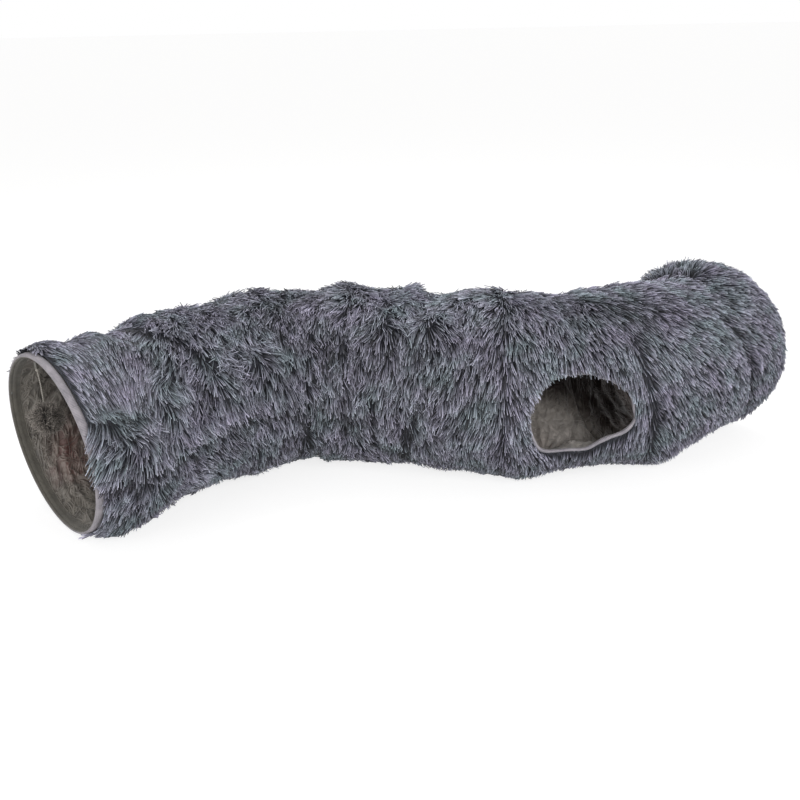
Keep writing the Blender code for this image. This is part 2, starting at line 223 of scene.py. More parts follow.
def long_pile():
    """Polyester plush pile, dyed in the yarn, with painted shade: dark at the root, where no light gets in, and paler
    to the tip.
    """
    made, tree, shader = new_material("long_pile_polyester_plush", 0.62)
    run = add(tree, "ShaderNodeAttribute", attribute_name="strand_run").outputs["Fac"]
    tone = add(tree, "ShaderNodeAttribute", attribute_name="strand_tone").outputs["Fac"]
    place = add(tree, "ShaderNodeTexCoord").outputs["Object"]
    down = ramp(tree, run, [(0.0, PILE_ROOT_SHADE), (0.28, PILE_LOW), (0.60, PILE_MIDDLE), (1.0, PILE_TIP)])
    # Dye lots and handling turn the pile bluer or greyer over patches about 60 mm wide
    patch = add(tree, "ShaderNodeTexNoise", {"Vector": place, "Scale": 22.0, "Detail": 3.0, "Roughness": 0.6}).outputs["Fac"]
    cast = ramp(tree, patch, [(0.34, "#f8eef8"), (0.50, "#f3f1f4"), (0.66, "#e3f0ea")])
    # dyed is the dye's tint times the root-to-tip ramp, whose dark root is painted shade
    dyed = add(tree, "ShaderNodeMix", {0: 1.0, 6: down, 7: cast}, data_type="RGBA", blend_type="MULTIPLY").outputs[2]
    # The strand's tone, random by strand and by lock, carries the painted light and shade written as pile_shade
    bright = add(tree, "ShaderNodeMapRange", {"Value": tone, "From Min": -0.35, "From Max": 1.45, "To Min": 0.10, "To Max": 1.90}).outputs["Result"]
    lit = add(tree, "ShaderNodeVectorMath", {0: dyed, "Scale": bright}, operation="SCALE").outputs[0]
    tree.links.new(lit, shader.inputs["Base Color"])
    return made


# The root's near-black and the dark low colour are painted shade among the strands
PILE_ROOT_SHADE, PILE_LOW, PILE_MIDDLE, PILE_TIP = "#141519", "#43464f", "#868995", "#afb2be"


def knit_backing():
    """Knitted polyester backing of the plush, 1.2 mm wales, made near-black as painted shade: it is seen only as the
    dark between the strands.
    """
    made, tree, shader = new_material("knitted_plush_backing_painted_shade", 0.9)
    place = add(tree, "ShaderNodeTexCoord").outputs["Object"]
    wale = add(tree, "ShaderNodeTexWave", {"Vector": place, "Scale": 130.0, "Distortion": 1.5}).outputs["Fac"]
    tree.links.new(ramp(tree, wale, [(0.2, "#26272d"), (0.8, "#3a3c45")]), shader.inputs["Base Color"])
    bump = add(tree, "ShaderNodeBump", {"Strength": 0.5, "Distance": 0.0006, "Height": wale}).outputs[0]
    tree.links.new(bump, shader.inputs["Normal"])
    return made


def sharp_ridges(tree, noise_value, steepness):
    """Noise turned into narrow ridges, 1 on their crests."""
    off = add(tree, "ShaderNodeMath", {0: noise_value, 1: 0.5}, operation="SUBTRACT").outputs[0]
    away = add(tree, "ShaderNodeMath", {0: off}, operation="ABSOLUTE").outputs[0]
    return add(tree, "ShaderNodeMath", {0: away, 1: -steepness, 2: 1.0}, operation="MULTIPLY_ADD", use_clamp=True).outputs[0]


def creased_lining():
    """Thin polyester taffeta, warm grey and red-brown in patches, crushed into fine creases most of which run round the
    tunnel, with painted shade and painted light on it.
    """
    made, tree, shader = new_material("crushed_polyester_taffeta", 0.48, sheen=0.15)
    cloth = add(tree, "ShaderNodeUVMap", uv_map="cloth").outputs[0]
    place = add(tree, "ShaderNodeTexCoord").outputs["Object"]
    drawn_out = add(
        tree, "ShaderNodeMapping", {"Vector": cloth, "Rotation": (0, 0, 0.30), "Scale": (1 / 16, 1 / 52, 1)}, vector_type="TEXTURE",
    ).outputs[0]
    along = add(
        tree, "ShaderNodeMapping", {"Vector": cloth, "Rotation": (0, 0, -0.25), "Scale": (1 / 32, 1 / 30, 1)}, vector_type="TEXTURE",
    ).outputs[0]
    crushed = add(tree, "ShaderNodeTexNoise", {"Vector": drawn_out, "Scale": 1.0, "Detail": 2.0, "Distortion": 1.4}).outputs["Fac"]
    slanted = add(tree, "ShaderNodeTexNoise", {"Vector": along, "Scale": 1.0, "Detail": 2.0, "Distortion": 1.6}).outputs["Fac"]
    crests = add(
        tree, "ShaderNodeMath", {0: sharp_ridges(tree, crushed, 13.0), 1: sharp_ridges(tree, slanted, 14.0)}, operation="MAXIMUM",
    ).outputs[0]
    patch = add(tree, "ShaderNodeTexNoise", {"Vector": place, "Scale": 11.0, "Detail": 3.0}).outputs["Fac"]
    ground = ramp(tree, patch, [(0.36, "#625d56"), (0.50, "#6a655f"), (0.62, "#6b5a56")])
    # cloth_rust is the cloth's own red-brown; the other two are painted light, pale, and painted shade, dark red-brown
    for name, colour in (("cloth_rust", "#7d4f49"), ("cloth_painted_light", "#dcd4ce"), ("cloth_painted_shade", "#24110c")):
        amount = add(tree, "ShaderNodeAttribute", attribute_name=name).outputs["Fac"]
        ground = add(tree, "ShaderNodeMix", {0: amount, 6: ground, 7: linear(colour)}, data_type="RGBA").outputs[2]
    # Painted shade in the hollows of the crushed folds and painted light on their tops
    fold_shade = add(tree, "ShaderNodeMapRange", {"Value": crushed, "From Min": 0.3, "From Max": 0.7, "To Min": 0.60, "To Max": 1.12})
    shaded = add(tree, "ShaderNodeVectorMath", {0: ground, "Scale": fold_shade.outputs[0]}, operation="SCALE").outputs[0]
    # Paler along the crests, less where there is painted shade
    unshaded_share = add(tree, "ShaderNodeMapRange", {"Value": amount, "To Min": 0.46, "To Max": 0.08}).outputs["Result"]
    share = add(tree, "ShaderNodeMath", {0: crests, 1: unshaded_share}, operation="MULTIPLY").outputs[0]
    paler_crests = add(tree, "ShaderNodeMix", {0: share, 6: shaded, 7: linear("#a09a92")}, data_type="RGBA").outputs[2]
    tree.links.new(paler_crests, shader.inputs["Base Color"])
    # A plain weave of fine threads, only just seen
    weave = add(tree, "ShaderNodeTexNoise", {"Vector": place, "Scale": 700.0, "Detail": 1.0}).outputs["Fac"]
    folds = add(tree, "ShaderNodeMath", {0: crushed, 1: slanted}, operation="ADD").outputs[0]
    heights = add(tree, "ShaderNodeMath", {0: crests, 1: 0.5, 2: folds}, operation="MULTIPLY_ADD").outputs[0]
    full = add(tree, "ShaderNodeMath", {0: weave, 1: 0.08, 2: heights}, operation="MULTIPLY_ADD").outputs[0]
    bump = add(tree, "ShaderNodeBump", {"Strength": 0.80, "Distance": 0.0030, "Height": full}).outputs[0]
    tree.links.new(bump, shader.inputs["Normal"])
    return made


def woven_tape(name, dark, light):
    """Woven polyester tape with ribs 1 mm apart across it."""
    made, tree, shader = new_material(name, 0.75, sheen=0.2)
    rib = add(tree, "ShaderNodeUVMap", uv_map="tape").outputs[0]
    wave = add(tree, "ShaderNodeTexWave", {"Vector": rib, "Scale": 160.0, "Distortion": 0.4}).outputs["Fac"]
    place = add(tree, "ShaderNodeTexCoord").outputs["Object"]
    soil = add(tree, "ShaderNodeTexNoise", {"Vector": place, "Scale": 60.0, "Detail": 6.0, "Roughness": 0.7}).outputs["Fac"]
    both = add(tree, "ShaderNodeMath", {0: wave, 1: 0.25, 2: soil}, operation="MULTIPLY_ADD").outputs[0]
    tree.links.new(ramp(tree, both, [(0.38, dark), (0.82, light)]), shader.inputs["Base Color"])
    rumpled = add(tree, "ShaderNodeMath", {0: soil, 1: 4.0, 2: wave}, operation="MULTIPLY_ADD").outputs[0]
    bump = add(tree, "ShaderNodeBump", {"Strength": 0.6, "Distance": 0.0006, "Height": rumpled}).outputs[0]
    tree.links.new(bump, shader.inputs["Normal"])
    return made


def drawn_wire(name, colour, roughness):
    """Drawn spring wire or a plated sleeve, with fine marks along it."""
    made, tree, shader = new_material(name, roughness, metallic=1.0)
    place = add(tree, "ShaderNodeTexCoord").outputs["Object"]
    marks = add(tree, "ShaderNodeTexNoise", {"Vector": place, "Scale": 400.0, "Detail": 3.0}).outputs["Fac"]
    tree.links.new(ramp(tree, marks, [(0.3, colour[0]), (0.7, colour[1])]), shader.inputs["Base Color"])
    bump = add(tree, "ShaderNodeBump", {"Strength": 0.2, "Distance": 0.0002, "Height": marks}).outputs[0]
    tree.links.new(bump, shader.inputs["Normal"])
    return made


def covered_elastic():
    """Round elastic with a braided polyester cover, plaits about 1.5 mm long."""
    made, tree, shader = new_material("braided_cover_elastic", 0.7)
    place = add(tree, "ShaderNodeTexCoord").outputs["Object"]
    plait = add(
        tree, "ShaderNodeTexWave", {"Vector": place, "Scale": 210.0, "Distortion": 0.8}, bands_direction="DIAGONAL",
    ).outputs["Fac"]
    tree.links.new(ramp(tree, plait, [(0.2, "#77736d"), (0.8, "#a9a49c")]), shader.inputs["Base Color"])
    bump = add(tree, "ShaderNodeBump", {"Strength": 0.6, "Distance": 0.0003, "Height": plait}).outputs[0]
    tree.links.new(bump, shader.inputs["Normal"])
    return made


def pompon_yarn():
    """Fluffed polyester yarn of the ball, grey-beige, with painted shade that darkens it in its depth."""
    made, tree, shader = new_material("fluffed_pompon_yarn", 0.75)
    run = add(tree, "ShaderNodeAttribute", attribute_name="strand_run").outputs["Fac"]
    tone = add(tree, "ShaderNodeAttribute", attribute_name="strand_tone").outputs["Fac"]
    down = ramp(tree, run, [(0.0, "#2b2826"), (0.5, "#6d6762"), (1.0, "#a39c95")])
    bright = add(tree, "ShaderNodeMapRange", {"Value": tone, "To Min": 0.6, "To Max": 1.25}).outputs["Result"]
    lit = add(tree, "ShaderNodeVectorMath", {0: down, "Scale": bright}, operation="SCALE").outputs[0]
    tree.links.new(lit, shader.inputs["Base Color"])
    return made


PLUSH, BACKING, LINING = long_pile(), knit_backing(), creased_lining()
TAPE = woven_tape("woven_binding_tape", "#706d74", "#a09aa0")
# Olive grey, partly its own colour and partly painted shade, darkened for the inside of the mouths
SHADED_OLIVE_TAPE = woven_tape("olive_grey_tape_painted_shade", "#403d37", "#5f5b53")
PIPING = woven_tape("pale_piping", "#87827a", "#aea79c")
HEM_TAPE = woven_tape("folded_taffeta_hem", "#75727a", "#a5a0a6")
THREAD, _tree, _shader = new_material("grey_sewing_thread", 0.6)
_shader.inputs["Base Color"].default_value = linear("#8d8b92")
WIRE = drawn_wire("drawn_spring_steel_wire", ("#6f7276", "#9a9da1"), 0.32)
SLEEVE = drawn_wire("zinc_plated_steel_sleeve", ("#a8abb0", "#c9ccd0"), 0.3)
ELASTIC, YARN = covered_elastic(), pompon_yarn()


# Meshes

def new_piece(name, points, faces, material, smooth=True):
    mesh = bpy.data.meshes.new(name)
    mesh.from_pydata([tuple(p) for p in points], [], faces)
    if smooth:
        mesh.shade_smooth()
    mesh.materials.append(material)
    made = bpy.data.objects.new(name, mesh)
    bpy.context.scene.collection.objects.link(made)
    return made


def wall(name, outer, inner, material, keep=None):
    """A closed sleeve between an outer and an inner grid of points, rows along the tunnel by sides round it.

    Where keep is below 0 there is a hole in it, with its edge closed. It gets a UV map in metres.
    """
    rows, sides = outer.shape[:2]
    field = np.ones(rows * sides) if keep is None else keep.ravel()
    outside, inside = list(outer.reshape(-1, 3)), list(inner.reshape(-1, 3))
    places = [divmod(number, sides) for number in range(rows * sides)]
    crossings, cells, cuts = {}, [], []

    def crossing(first, last):
        key = (min(first, last), max(first, last))
        if key not in crossings:
            a, b = key
            share = field[a] / (field[a] - field[b])
            crossings[key] = len(outside)
            for points in (outside, inside):
                points.append(points[a] + share * (points[b] - points[a]))
            (row, side), (far_row, far_side) = places[a], places[b]
            places.append((row + share * (far_row - row), side + share * (far_side - side)))
        return crossings[key]

    for row in range(rows - 1):
        for side in range(sides):
            beside = (side + 1) % sides
            corners = (row * sides + side, row * sides + beside, (row + 1) * sides + beside, (row + 1) * sides + side)
            if all(field[n] >= 0 for n in corners):
                cells.append(corners)
            elif any(field[n] >= 0 for n in corners):
                cell, cut = [], [0, 0]
                for p, q in zip(corners, corners[1:] + corners[:1]):
                    if field[p] >= 0:
                        cell.append(p)
                    if (field[p] >= 0) != (field[q] >= 0):
                        cell.append(crossing(p, q))
                        cut[0 if field[p] >= 0 else 1] = cell[-1]
                cells.append(tuple(cell))
                cuts.append(cut)
    count, last = len(outside), (rows - 1) * sides
    faces = cells + [tuple(count + n for n in reversed(cell)) for cell in cells]
    faces += [(q, p, count + p, count + q) for p, q in cuts]
    for side in range(sides):
        beside = (side + 1) % sides
        faces.append((beside, side, count + side, count + beside))
        faces.append((last + side, last + beside, count + last + beside, count + last + side))
    made = new_piece(name, outside + inside, faces, material)
    layer = made.data.uv_layers.new(name="cloth")
    pitch, length = tau * 0.125 / sides, float(np.linalg.norm(outer[-1, 0] - outer[0, 0])) / (rows - 1)
    flat = []
    for face in faces:
        start = places[face[0] % count][1]
        for row, side in (places[n % count] for n in face):
            side = side + sides if start - side > sides / 2 else side - sides if side - start > sides / 2 else side
            flat += [side * pitch, row * length]
    layer.data.foreach_set("uv", np.array(flat, np.float32))
    return made


def ring_tape(name, sections, material, closed=True):
    """A ring or strip of tape: sections go round it, each a closed outline of points. It gets a UV map along the tape."""
    count, side = len(sections), len(sections[0])
    faces = []
    for number in range(count if closed else count - 1):
        following = (number + 1) % count
        for step in range(side):
            beside = (step + 1) % side
            faces.append((number * side + step, number * side + beside, following * side + beside, following * side + step))
    if not closed:
        faces += [tuple(reversed(range(side))), tuple(range((count - 1) * side, count * side))]
    made = new_piece(name, [p for section in sections for p in section], faces, material)
    layer = made.data.uv_layers.new(name="tape")
    lengths = np.linalg.norm(np.diff(np.array([s[0] for s in sections] + [sections[0][0]]), axis=0), axis=1)
    along = np.concatenate([[0], np.cumsum(lengths)])
    for face, polygon in enumerate(made.data.polygons):
        if polygon.loop_total != 4 or face >= len(faces) - (0 if closed else 2):
            continue
        number, step = divmod(face, side)
        corners = ((number, step), (number, step + 1), (number + 1, step + 1), (number + 1, step))
        for loop, (around, across) in zip(polygon.loop_indices, corners):
            layer.data[loop].uv = (along[around], across * 0.001)
    return made


def plain_mesh(source, name):
    """The evaluated source as a new object with a plain mesh. The source is removed."""
    bpy.context.view_layer.update()
    graph = bpy.context.evaluated_depsgraph_get()
    mesh = bpy.data.meshes.new_from_object(source.evaluated_get(graph), preserve_all_data_layers=True, depsgraph=graph)
    mesh.name = name
    made = bpy.data.objects.new(name, mesh)
    bpy.context.scene.collection.objects.link(made)
    return made


def grown(source, tree, name, values, keep_source=True):
    """What a node tree makes on a source object, as a new object with a plain mesh."""
    modifier = source.modifiers.new(tree.name, "NODES")
    modifier.node_group = tree
    for item in tree.interface.items_tree:
        if item.in_out == "INPUT" and item.name in values:
            modifier[item.identifier] = values[item.name]
    made = plain_mesh(source, name)
    source.modifiers.remove(modifier)
    if not keep_source:
        bpy.data.objects.remove(source)
    return made


# The pile: a node tree that sows strands on cloth, gathers them in locks and lays them the way they are combed

PILE_FACTS = ("pile_comb", "pile_length", "pile_rise", "pile_density", "pile_loose", "pile_shade", "pile_edge")


def pile_tree():
    tree = bpy.data.node_groups.new("Pile", "GeometryNodeTree")
    tree.interface.new_socket("Cloth", in_out="INPUT", socket_type="NodeSocketGeometry")
    sizes = (
        ("Strands per Square Metre", 100000.0), ("Strand Width", 0.0010), ("Lock Spacing", 0.0031), ("Lock Pull", 0.45),
        ("Lock Turn", 0.34), ("Strand Turn", 0.17), ("Lock Curl", 0.0038), ("Frizz", 0.0012), ("Tunnel Radius", 0.130),
        ("Floor", 0.0004),
    )
    for name, value in sizes:
        tree.interface.new_socket(name, in_out="INPUT", socket_type="NodeSocketFloat").default_value = value
    tree.interface.new_socket("Seed", in_out="INPUT", socket_type="NodeSocketInt")
    tree.interface.new_socket("Yarn", in_out="INPUT", socket_type="NodeSocketMaterial")
    tree.interface.new_socket("Pile", in_out="OUTPUT", socket_type="NodeSocketGeometry")
    given = add(tree, "NodeGroupInput").outputs
    place = add(tree, "GeometryNodeInputPosition").outputs[0]

    def named(name, kind="FLOAT_VECTOR"):
        found = add(tree, "GeometryNodeInputNamedAttribute", {"Name": name}, data_type=kind)
        return found.outputs["Attribute"]

    def maths(operation, *values):
        return add(tree, "ShaderNodeMath", dict(enumerate(values)), operation=operation).outputs[0]

    def vectors(operation, *values, **inputs):
        made = add(tree, "ShaderNodeVectorMath", {**dict(enumerate(values)), **inputs}, operation=operation)
        return made.outputs["Value" if operation == "DOT_PRODUCT" else "Vector"]

    def chance(low, high, seed, kind="FLOAT"):
        made = add(tree, "FunctionNodeRandomValue", data_type=kind)
        first = 0 if kind == "FLOAT_VECTOR" else 2
        made.inputs[first].default_value, made.inputs[first + 1].default_value = low, high
        made.inputs["Seed"].default_value = seed
        return made.outputs[0 if kind == "FLOAT_VECTOR" else 1]

    def store(geometry, name, value, kind="FLOAT_VECTOR"):
        made = add(tree, "GeometryNodeStoreNamedAttribute", {"Geometry": geometry, "Name": name}, data_type=kind)
        tree.links.new(value, made.inputs["Value"])
        return made.outputs["Geometry"]

    # Roots of the strands, and the middles of the locks that they gather in
    thick = maths("MULTIPLY", named("pile_density", "FLOAT"), given["Strands per Square Metre"])
    sown = add(
        tree, "GeometryNodeDistributePointsOnFaces", {"Mesh": given["Cloth"], "Density": thick, "Seed": given["Seed"]},
        distribute_method="RANDOM",
    )
    locks = add(
        tree, "GeometryNodeDistributePointsOnFaces",
        {"Mesh": given["Cloth"], "Distance Min": given["Lock Spacing"], "Density Max": 60000.0, "Seed": given["Seed"]},
        distribute_method="POISSON",
    ).outputs["Points"]
    nearest = add(tree, "GeometryNodeSampleNearest", {"Geometry": locks}, domain="POINT").outputs["Index"]

    def from_lock(value, kind="FLOAT_VECTOR"):
        made = add(tree, "GeometryNodeSampleIndex", {"Geometry": locks, "Index": nearest}, data_type=kind, domain="POINT")
        tree.links.new(value, made.inputs["Value"])
        return made.outputs["Value"]

    skin, loose = sown.outputs["Normal"], named("pile_loose", "FLOAT")
    lock_turn = vectors("SCALE", from_lock(chance((-1, -1, -1), (1, 1, 1), 3, "FLOAT_VECTOR")), Scale=maths("MULTIPLY", given["Lock Turn"], loose))
    strand_turn = vectors("SCALE", chance((-1, -1, -1), (1, 1, 1), 4, "FLOAT_VECTOR"), Scale=maths("MULTIPLY", given["Strand Turn"], loose))
    leaning = vectors("ADD", vectors("ADD", named("pile_comb"), lock_turn), strand_turn)
    flat = vectors("SUBTRACT", leaning, vectors("SCALE", skin, Scale=vectors("DOT_PRODUCT", leaning, skin)))
    lock_size = from_lock(chance(0.80, 1.18, 5), "FLOAT")
    reach = maths("MULTIPLY", maths("MULTIPLY", named("pile_length", "FLOAT"), chance(0.72, 1.15, 6)), lock_size)
    rise = maths("MULTIPLY", maths("MULTIPLY", named("pile_rise", "FLOAT"), chance(0.65, 1.20, 7)), lock_size)
    tone = maths("ADD", maths("MULTIPLY", chance(-0.5, 0.5, 8), 1.40), maths("MULTIPLY", from_lock(chance(-0.5, 0.5, 9), "FLOAT"), 0.75))
    tone = maths("ADD", tone, named("pile_shade", "FLOAT"))
    cut_away = add(tree, "FunctionNodeCompare", {0: named("pile_edge", "FLOAT"), 1: 0.0}, operation="LESS_THAN").outputs[0]
    points = add(tree, "GeometryNodeDeleteGeometry", {"Geometry": sown.outputs["Points"], "Selection": cut_away}, domain="POINT").outputs[0]
    points = store(points, "strand_root", place)
    points = store(points, "strand_skin", skin)
    points = store(points, "strand_lean", vectors("NORMALIZE", flat))
    points = store(points, "strand_gather", vectors("SCALE", vectors("SUBTRACT", from_lock(place), place), Scale=given["Lock Pull"]))
    stray = vectors("SCALE", chance((-1, -1, -1), (1, 1, 1), 10, "FLOAT_VECTOR"), Scale=maths("MULTIPLY", given["Frizz"], loose))
    curl = vectors("SCALE", from_lock(chance((-1, -1, -1), (1, 1, 1), 11, "FLOAT_VECTOR")), Scale=maths("MULTIPLY", given["Lock Curl"], loose))
    points = store(points, "strand_frizz", vectors("ADD", stray, curl))
    points = store(points, "strand_reach", reach, "FLOAT")
    points = store(points, "strand_rise", rise, "FLOAT")
    points = store(points, "strand_tone", tone, "FLOAT")

    # One strand, a metre tall and a metre thick, is drawn to size where it grows
    stem = add(tree, "GeometryNodeResampleCurve", {
        "Curve": add(tree, "GeometryNodeCurvePrimitiveLine", {"Start": (0, 0, 0), "End": (0, 0, 1)}).outputs["Curve"],
        "Count": 3,
    }).outputs["Curve"]
    share = add(tree, "GeometryNodeSplineParameter").outputs["Factor"]
    taper = maths("POWER", maths("SUBTRACT", 1.0, share), 0.6)
    stem = add(tree, "GeometryNodeSetCurveRadius", {"Curve": stem, "Radius": taper}).outputs["Curve"]
    section = add(tree, "GeometryNodeCurvePrimitiveCircle", {"Resolution": 3, "Radius": 0.5}).outputs["Curve"]
    tube = add(tree, "GeometryNodeCurveToMesh", {"Curve": stem, "Profile Curve": section, "Fill Caps": True}).outputs[0]
    strand = add(tree, "GeometryNodeMergeByDistance", {"Geometry": tube, "Distance": 0.001}).outputs[0]
    grown_ones = add(tree, "GeometryNodeInstanceOnPoints", {"Points": points, "Instance": strand}).outputs[0]
    solid = add(tree, "GeometryNodeRealizeInstances", {"Geometry": grown_ones}).outputs[0]

    # A strand rises from the cloth, lies over, follows the tunnel's curve and closes up with its lock
    template = add(tree, "ShaderNodeSeparateXYZ", {0: vectors("SUBTRACT", place, named("strand_root"))}).outputs
    run = template["Z"]
    squared = maths("MULTIPLY", run, run)
    lean, skin = named("strand_lean"), named("strand_skin")
    reach, rise = named("strand_reach", "FLOAT"), named("strand_rise", "FLOAT")
    lift = maths("MULTIPLY", rise, maths("SUBTRACT", 1.0, maths("POWER", maths("SUBTRACT", 1.0, run), 2.0)))
    bow = maths("DIVIDE", maths("MULTIPLY", maths("MULTIPLY", reach, reach), squared), maths("MULTIPLY", given["Tunnel Radius"], 2.2))
    middle = vectors("ADD", named("strand_root"), vectors("SCALE", lean, Scale=maths("MULTIPLY", reach, run)))
    middle = vectors("ADD", middle, vectors("SCALE", skin, Scale=maths("SUBTRACT", lift, bow)))
    middle = vectors("ADD", middle, vectors("SCALE", vectors("ADD", named("strand_gather"), named("strand_frizz")), Scale=squared))
    sideways = vectors("CROSS_PRODUCT", skin, lean)
    wide = vectors("SCALE", sideways, Scale=maths("MULTIPLY", template["X"], given["Strand Width"]))
    deep = vectors("SCALE", skin, Scale=maths("MULTIPLY", template["Y"], given["Strand Width"]))
    drawn = vectors("ADD", middle, vectors("ADD", wide, deep))
    above = add(tree, "ShaderNodeCombineXYZ", {0: -10.0, 1: -10.0, 2: given["Floor"]}).outputs[0]
    kept = vectors("MAXIMUM", drawn, above)
    solid = store(solid, "strand_run", run, "FLOAT")
    moved = add(tree, "GeometryNodeSetPosition", {"Geometry": solid, "Position": kept}).outputs[0]
    for name in ("strand_root", "strand_skin", "strand_lean", "strand_gather", "strand_frizz", "strand_reach", "strand_rise",
                 *PILE_FACTS):
        moved = add(tree, "GeometryNodeRemoveAttribute", {"Geometry": moved, "Name": name}).outputs[0]
    smooth = add(tree, "GeometryNodeSetShadeSmooth", {"Geometry": moved}).outputs[0]
    dyed = add(tree, "GeometryNodeSetMaterial", {"Geometry": smooth, "Material": given["Yarn"]}).outputs[0]
    tree.links.new(dyed, add(tree, "NodeGroupOutput").inputs[0])
    return tree


PILE = pile_tree()

# How the pile lies. A whorl is (distance along the tunnel, angle, reach, strength, spin): strands point away from it,
# or swirl round it where it spins
WHORLS = (
    (0.195, 143.0, 0.030, 1.2, 15), (0.110, 152.0, 0.024, 1.4, 35), (0.030, 150.0, 0.018, 1.0, 30), (0.150, 160.0, 0.018, 0.8, -60),
    (0.050, 165.0, 0.030, 1.6, 60), (0.120, 138.0, 0.020, 1.4, -70), (0.288, 145.0, 0.034, 1.5, 25), (0.343, 111.0, 0.026, 0.9, 20), (0.414, 129.0, 0.022, 0.9, -40),
    (0.557, 129.0, 0.040, 1.7, 14), (0.620, 124.0, 0.036, 1.6, -15), (0.480, 150.0, 0.018, 0.8, 50), (0.720, 122.0, 0.026, 0.6, 0), (0.905, 116.0, 0.024, 0.7, 0),
    (1.050, 92.0, 0.036, 1.2, 20), (0.480, 106.0, 0.024, 0.9, 30), (0.655, 98.0, 0.024, 0.9, 0), (0.825, 100.0, 0.026, 0.9, 20),
    (0.260, 30.0, 0.028, 1.0, 0), (0.420, 38.0, 0.030, 1.1, -30), (0.540, 20.0, 0.026, 0.9, 0),
    (0.660, 36.0, 0.030, 1.1, 20), (0.800, 40.0, 0.028, 0.8, 0), (0.930, 25.0, 0.030, 1.0, -20), (1.080, 30.0, 0.024, 0.7, 0),
)
# A crease runs from (distance, angle) to (distance, angle), with its depth: the cloth dips and the pile parts over it
CREASES = (
    (0.137, 70, 0.159, 105, 1.0), (0.159, 105, 0.204, 139, 0.8), (0.370, 158, 0.357, 224, 1.2), (0.321, 100, 0.338, 130, 0.6),
    (0.364, 75, 0.374, 118, 0.5), (0.554, 170, 0.538, 225, 1.1), (0.604, 180, 0.587, 228, 1.2), (0.723, 145, 0.720, 225, 0.6),
    (0.862, 126, 0.880, 186, 0.9), (0.880, 186, 0.893, 228, 0.9), (0.998, 130, 1.050, 212, 1.0), (0.545, 84, 0.552, 116, 0.4),
    (0.000, 147, 0.062, 152, 0.6), (0.062, 152, 0.110, 150, 0.5), (0.898, 117, 0.954, 134, 0.5), (0.640, 84, 0.650, 104, 0.6),
    (0.187, -40, 0.190, 62, 0.7), (0.368, -45, 0.372, 60, 0.8), (0.550, -45, 0.546, 70, 0.7), (0.720, -45, 0.724, 72, 0.7),
    (0.884, -45, 0.878, 78, 0.8), (1.022, -45, 1.020, 80, 0.8),
)
# Where long tips end over shorter pile: (distance, angle, how marked)
BREAK_LINE = (
    (0, 181, 1.0), (0.034, 184, 1.0), (0.090, 183, 1.0), (0.140, 177, 1.0), (0.187, 173, 0.9), (0.263, 172, 0.7), (0.346, 174, 0.8),
    (0.432, 181, 0.7), (0.542, 182, 0.5), (0.594, 183, 0.2), (0.64, 184, 0.0), (1.13, 184, 0.0),
)
# How far the pile leans ahead along the tunnel, above its side and below it, how unkempt it is and how light, that
# lightness being painted light and shade
LEAN_ABOVE = (
    (0, 0.30), (0.05, 0.0), (0.09, -0.35), (0.13, -0.60), (0.17, -0.65), (0.20, -0.10), (0.26, 0.05), (0.33, 0.15), (0.40, -0.10),
    (0.44, -0.30), (0.48, -0.10), (0.54, 0.20), (0.60, 0.25), (0.64, -0.10), (0.67, -0.35), (0.70, -0.28), (0.715, 0.10),
    (0.75, 0.35), (0.80, 0.25), (0.85, 0.30), (0.90, 0.60), (0.95, 0.72), (1.13, 0.70),
)
LEAN_BELOW = (
    (0, -0.25), (0.05, -0.30), (0.085, 0.40), (0.12, 0.60), (0.17, 0.60), (0.25, 0.35), (0.33, 0.20), (0.42, -0.05), (0.48, 0.05),
    (0.55, 0.15), (0.60, 0.0), (0.66, -0.20), (0.70, -0.15), (0.74, 0.12), (0.80, 0.12), (0.85, 0.25), (0.90, 0.60), (0.95, 0.72),
    (1.13, 0.70),
)
UNKEMPT = ((0, 0.60), (0.08, 0.95), (0.6, 0.90), (0.70, 0.60), (0.90, 0.42), (1.13, 0.48))
PAINTED_LIGHTNESS = ((0, 0.36), (0.20, 0.44), (0.33, 0.29), (0.45, 0.25), (0.60, 0.25), (0.70, 0.34), (0.76, 0.44), (0.86, 0.38), (0.95, 0.54), (1.13, 0.50))
# Painted light and shade on the pile, lighter or darker in patches: (distance, angle, reach along, reach in degrees, by
# how much)
PAINTED_LIGHT_PATCHES = (
    (0.090, 115, 0.060, 16, -0.14), (0.263, 109, 0.035, 12, 0.14), (0.070, 146, 0.045, 8, -0.02), (0.110, 168, 0.050, 8, 0.02), (0.130, 125, 0.014, 12, -0.14),
    (0.175, 152, 0.030, 10, -0.14), (0.447, 140, 0.040, 13, -0.26), (0.470, 165, 0.060, 13, -0.13), (0.591, 139, 0.035, 12, -0.15),
    (0.560, 112, 0.025, 9, 0.18), (0.631, 114, 0.025, 10, 0.21), (0.700, 165, 0.035, 14, -0.11), (0.764, 140, 0.060, 11, -0.10),
    (0.858, 160, 0.016, 30, 0.18), (0.960, 110, 0.050, 9, -0.08), (0.700, 208, 0.050, 10, -0.10),
    (0.580, 96, 0.090, 16, 0.52), (0.775, 165, 0.025, 28, 0.18), (0.850, 104, 0.050, 14, -0.34), (0.985, 98, 0.080, 16, -0.14), (0.040, 152, 0.040, 7, 0.07),
)
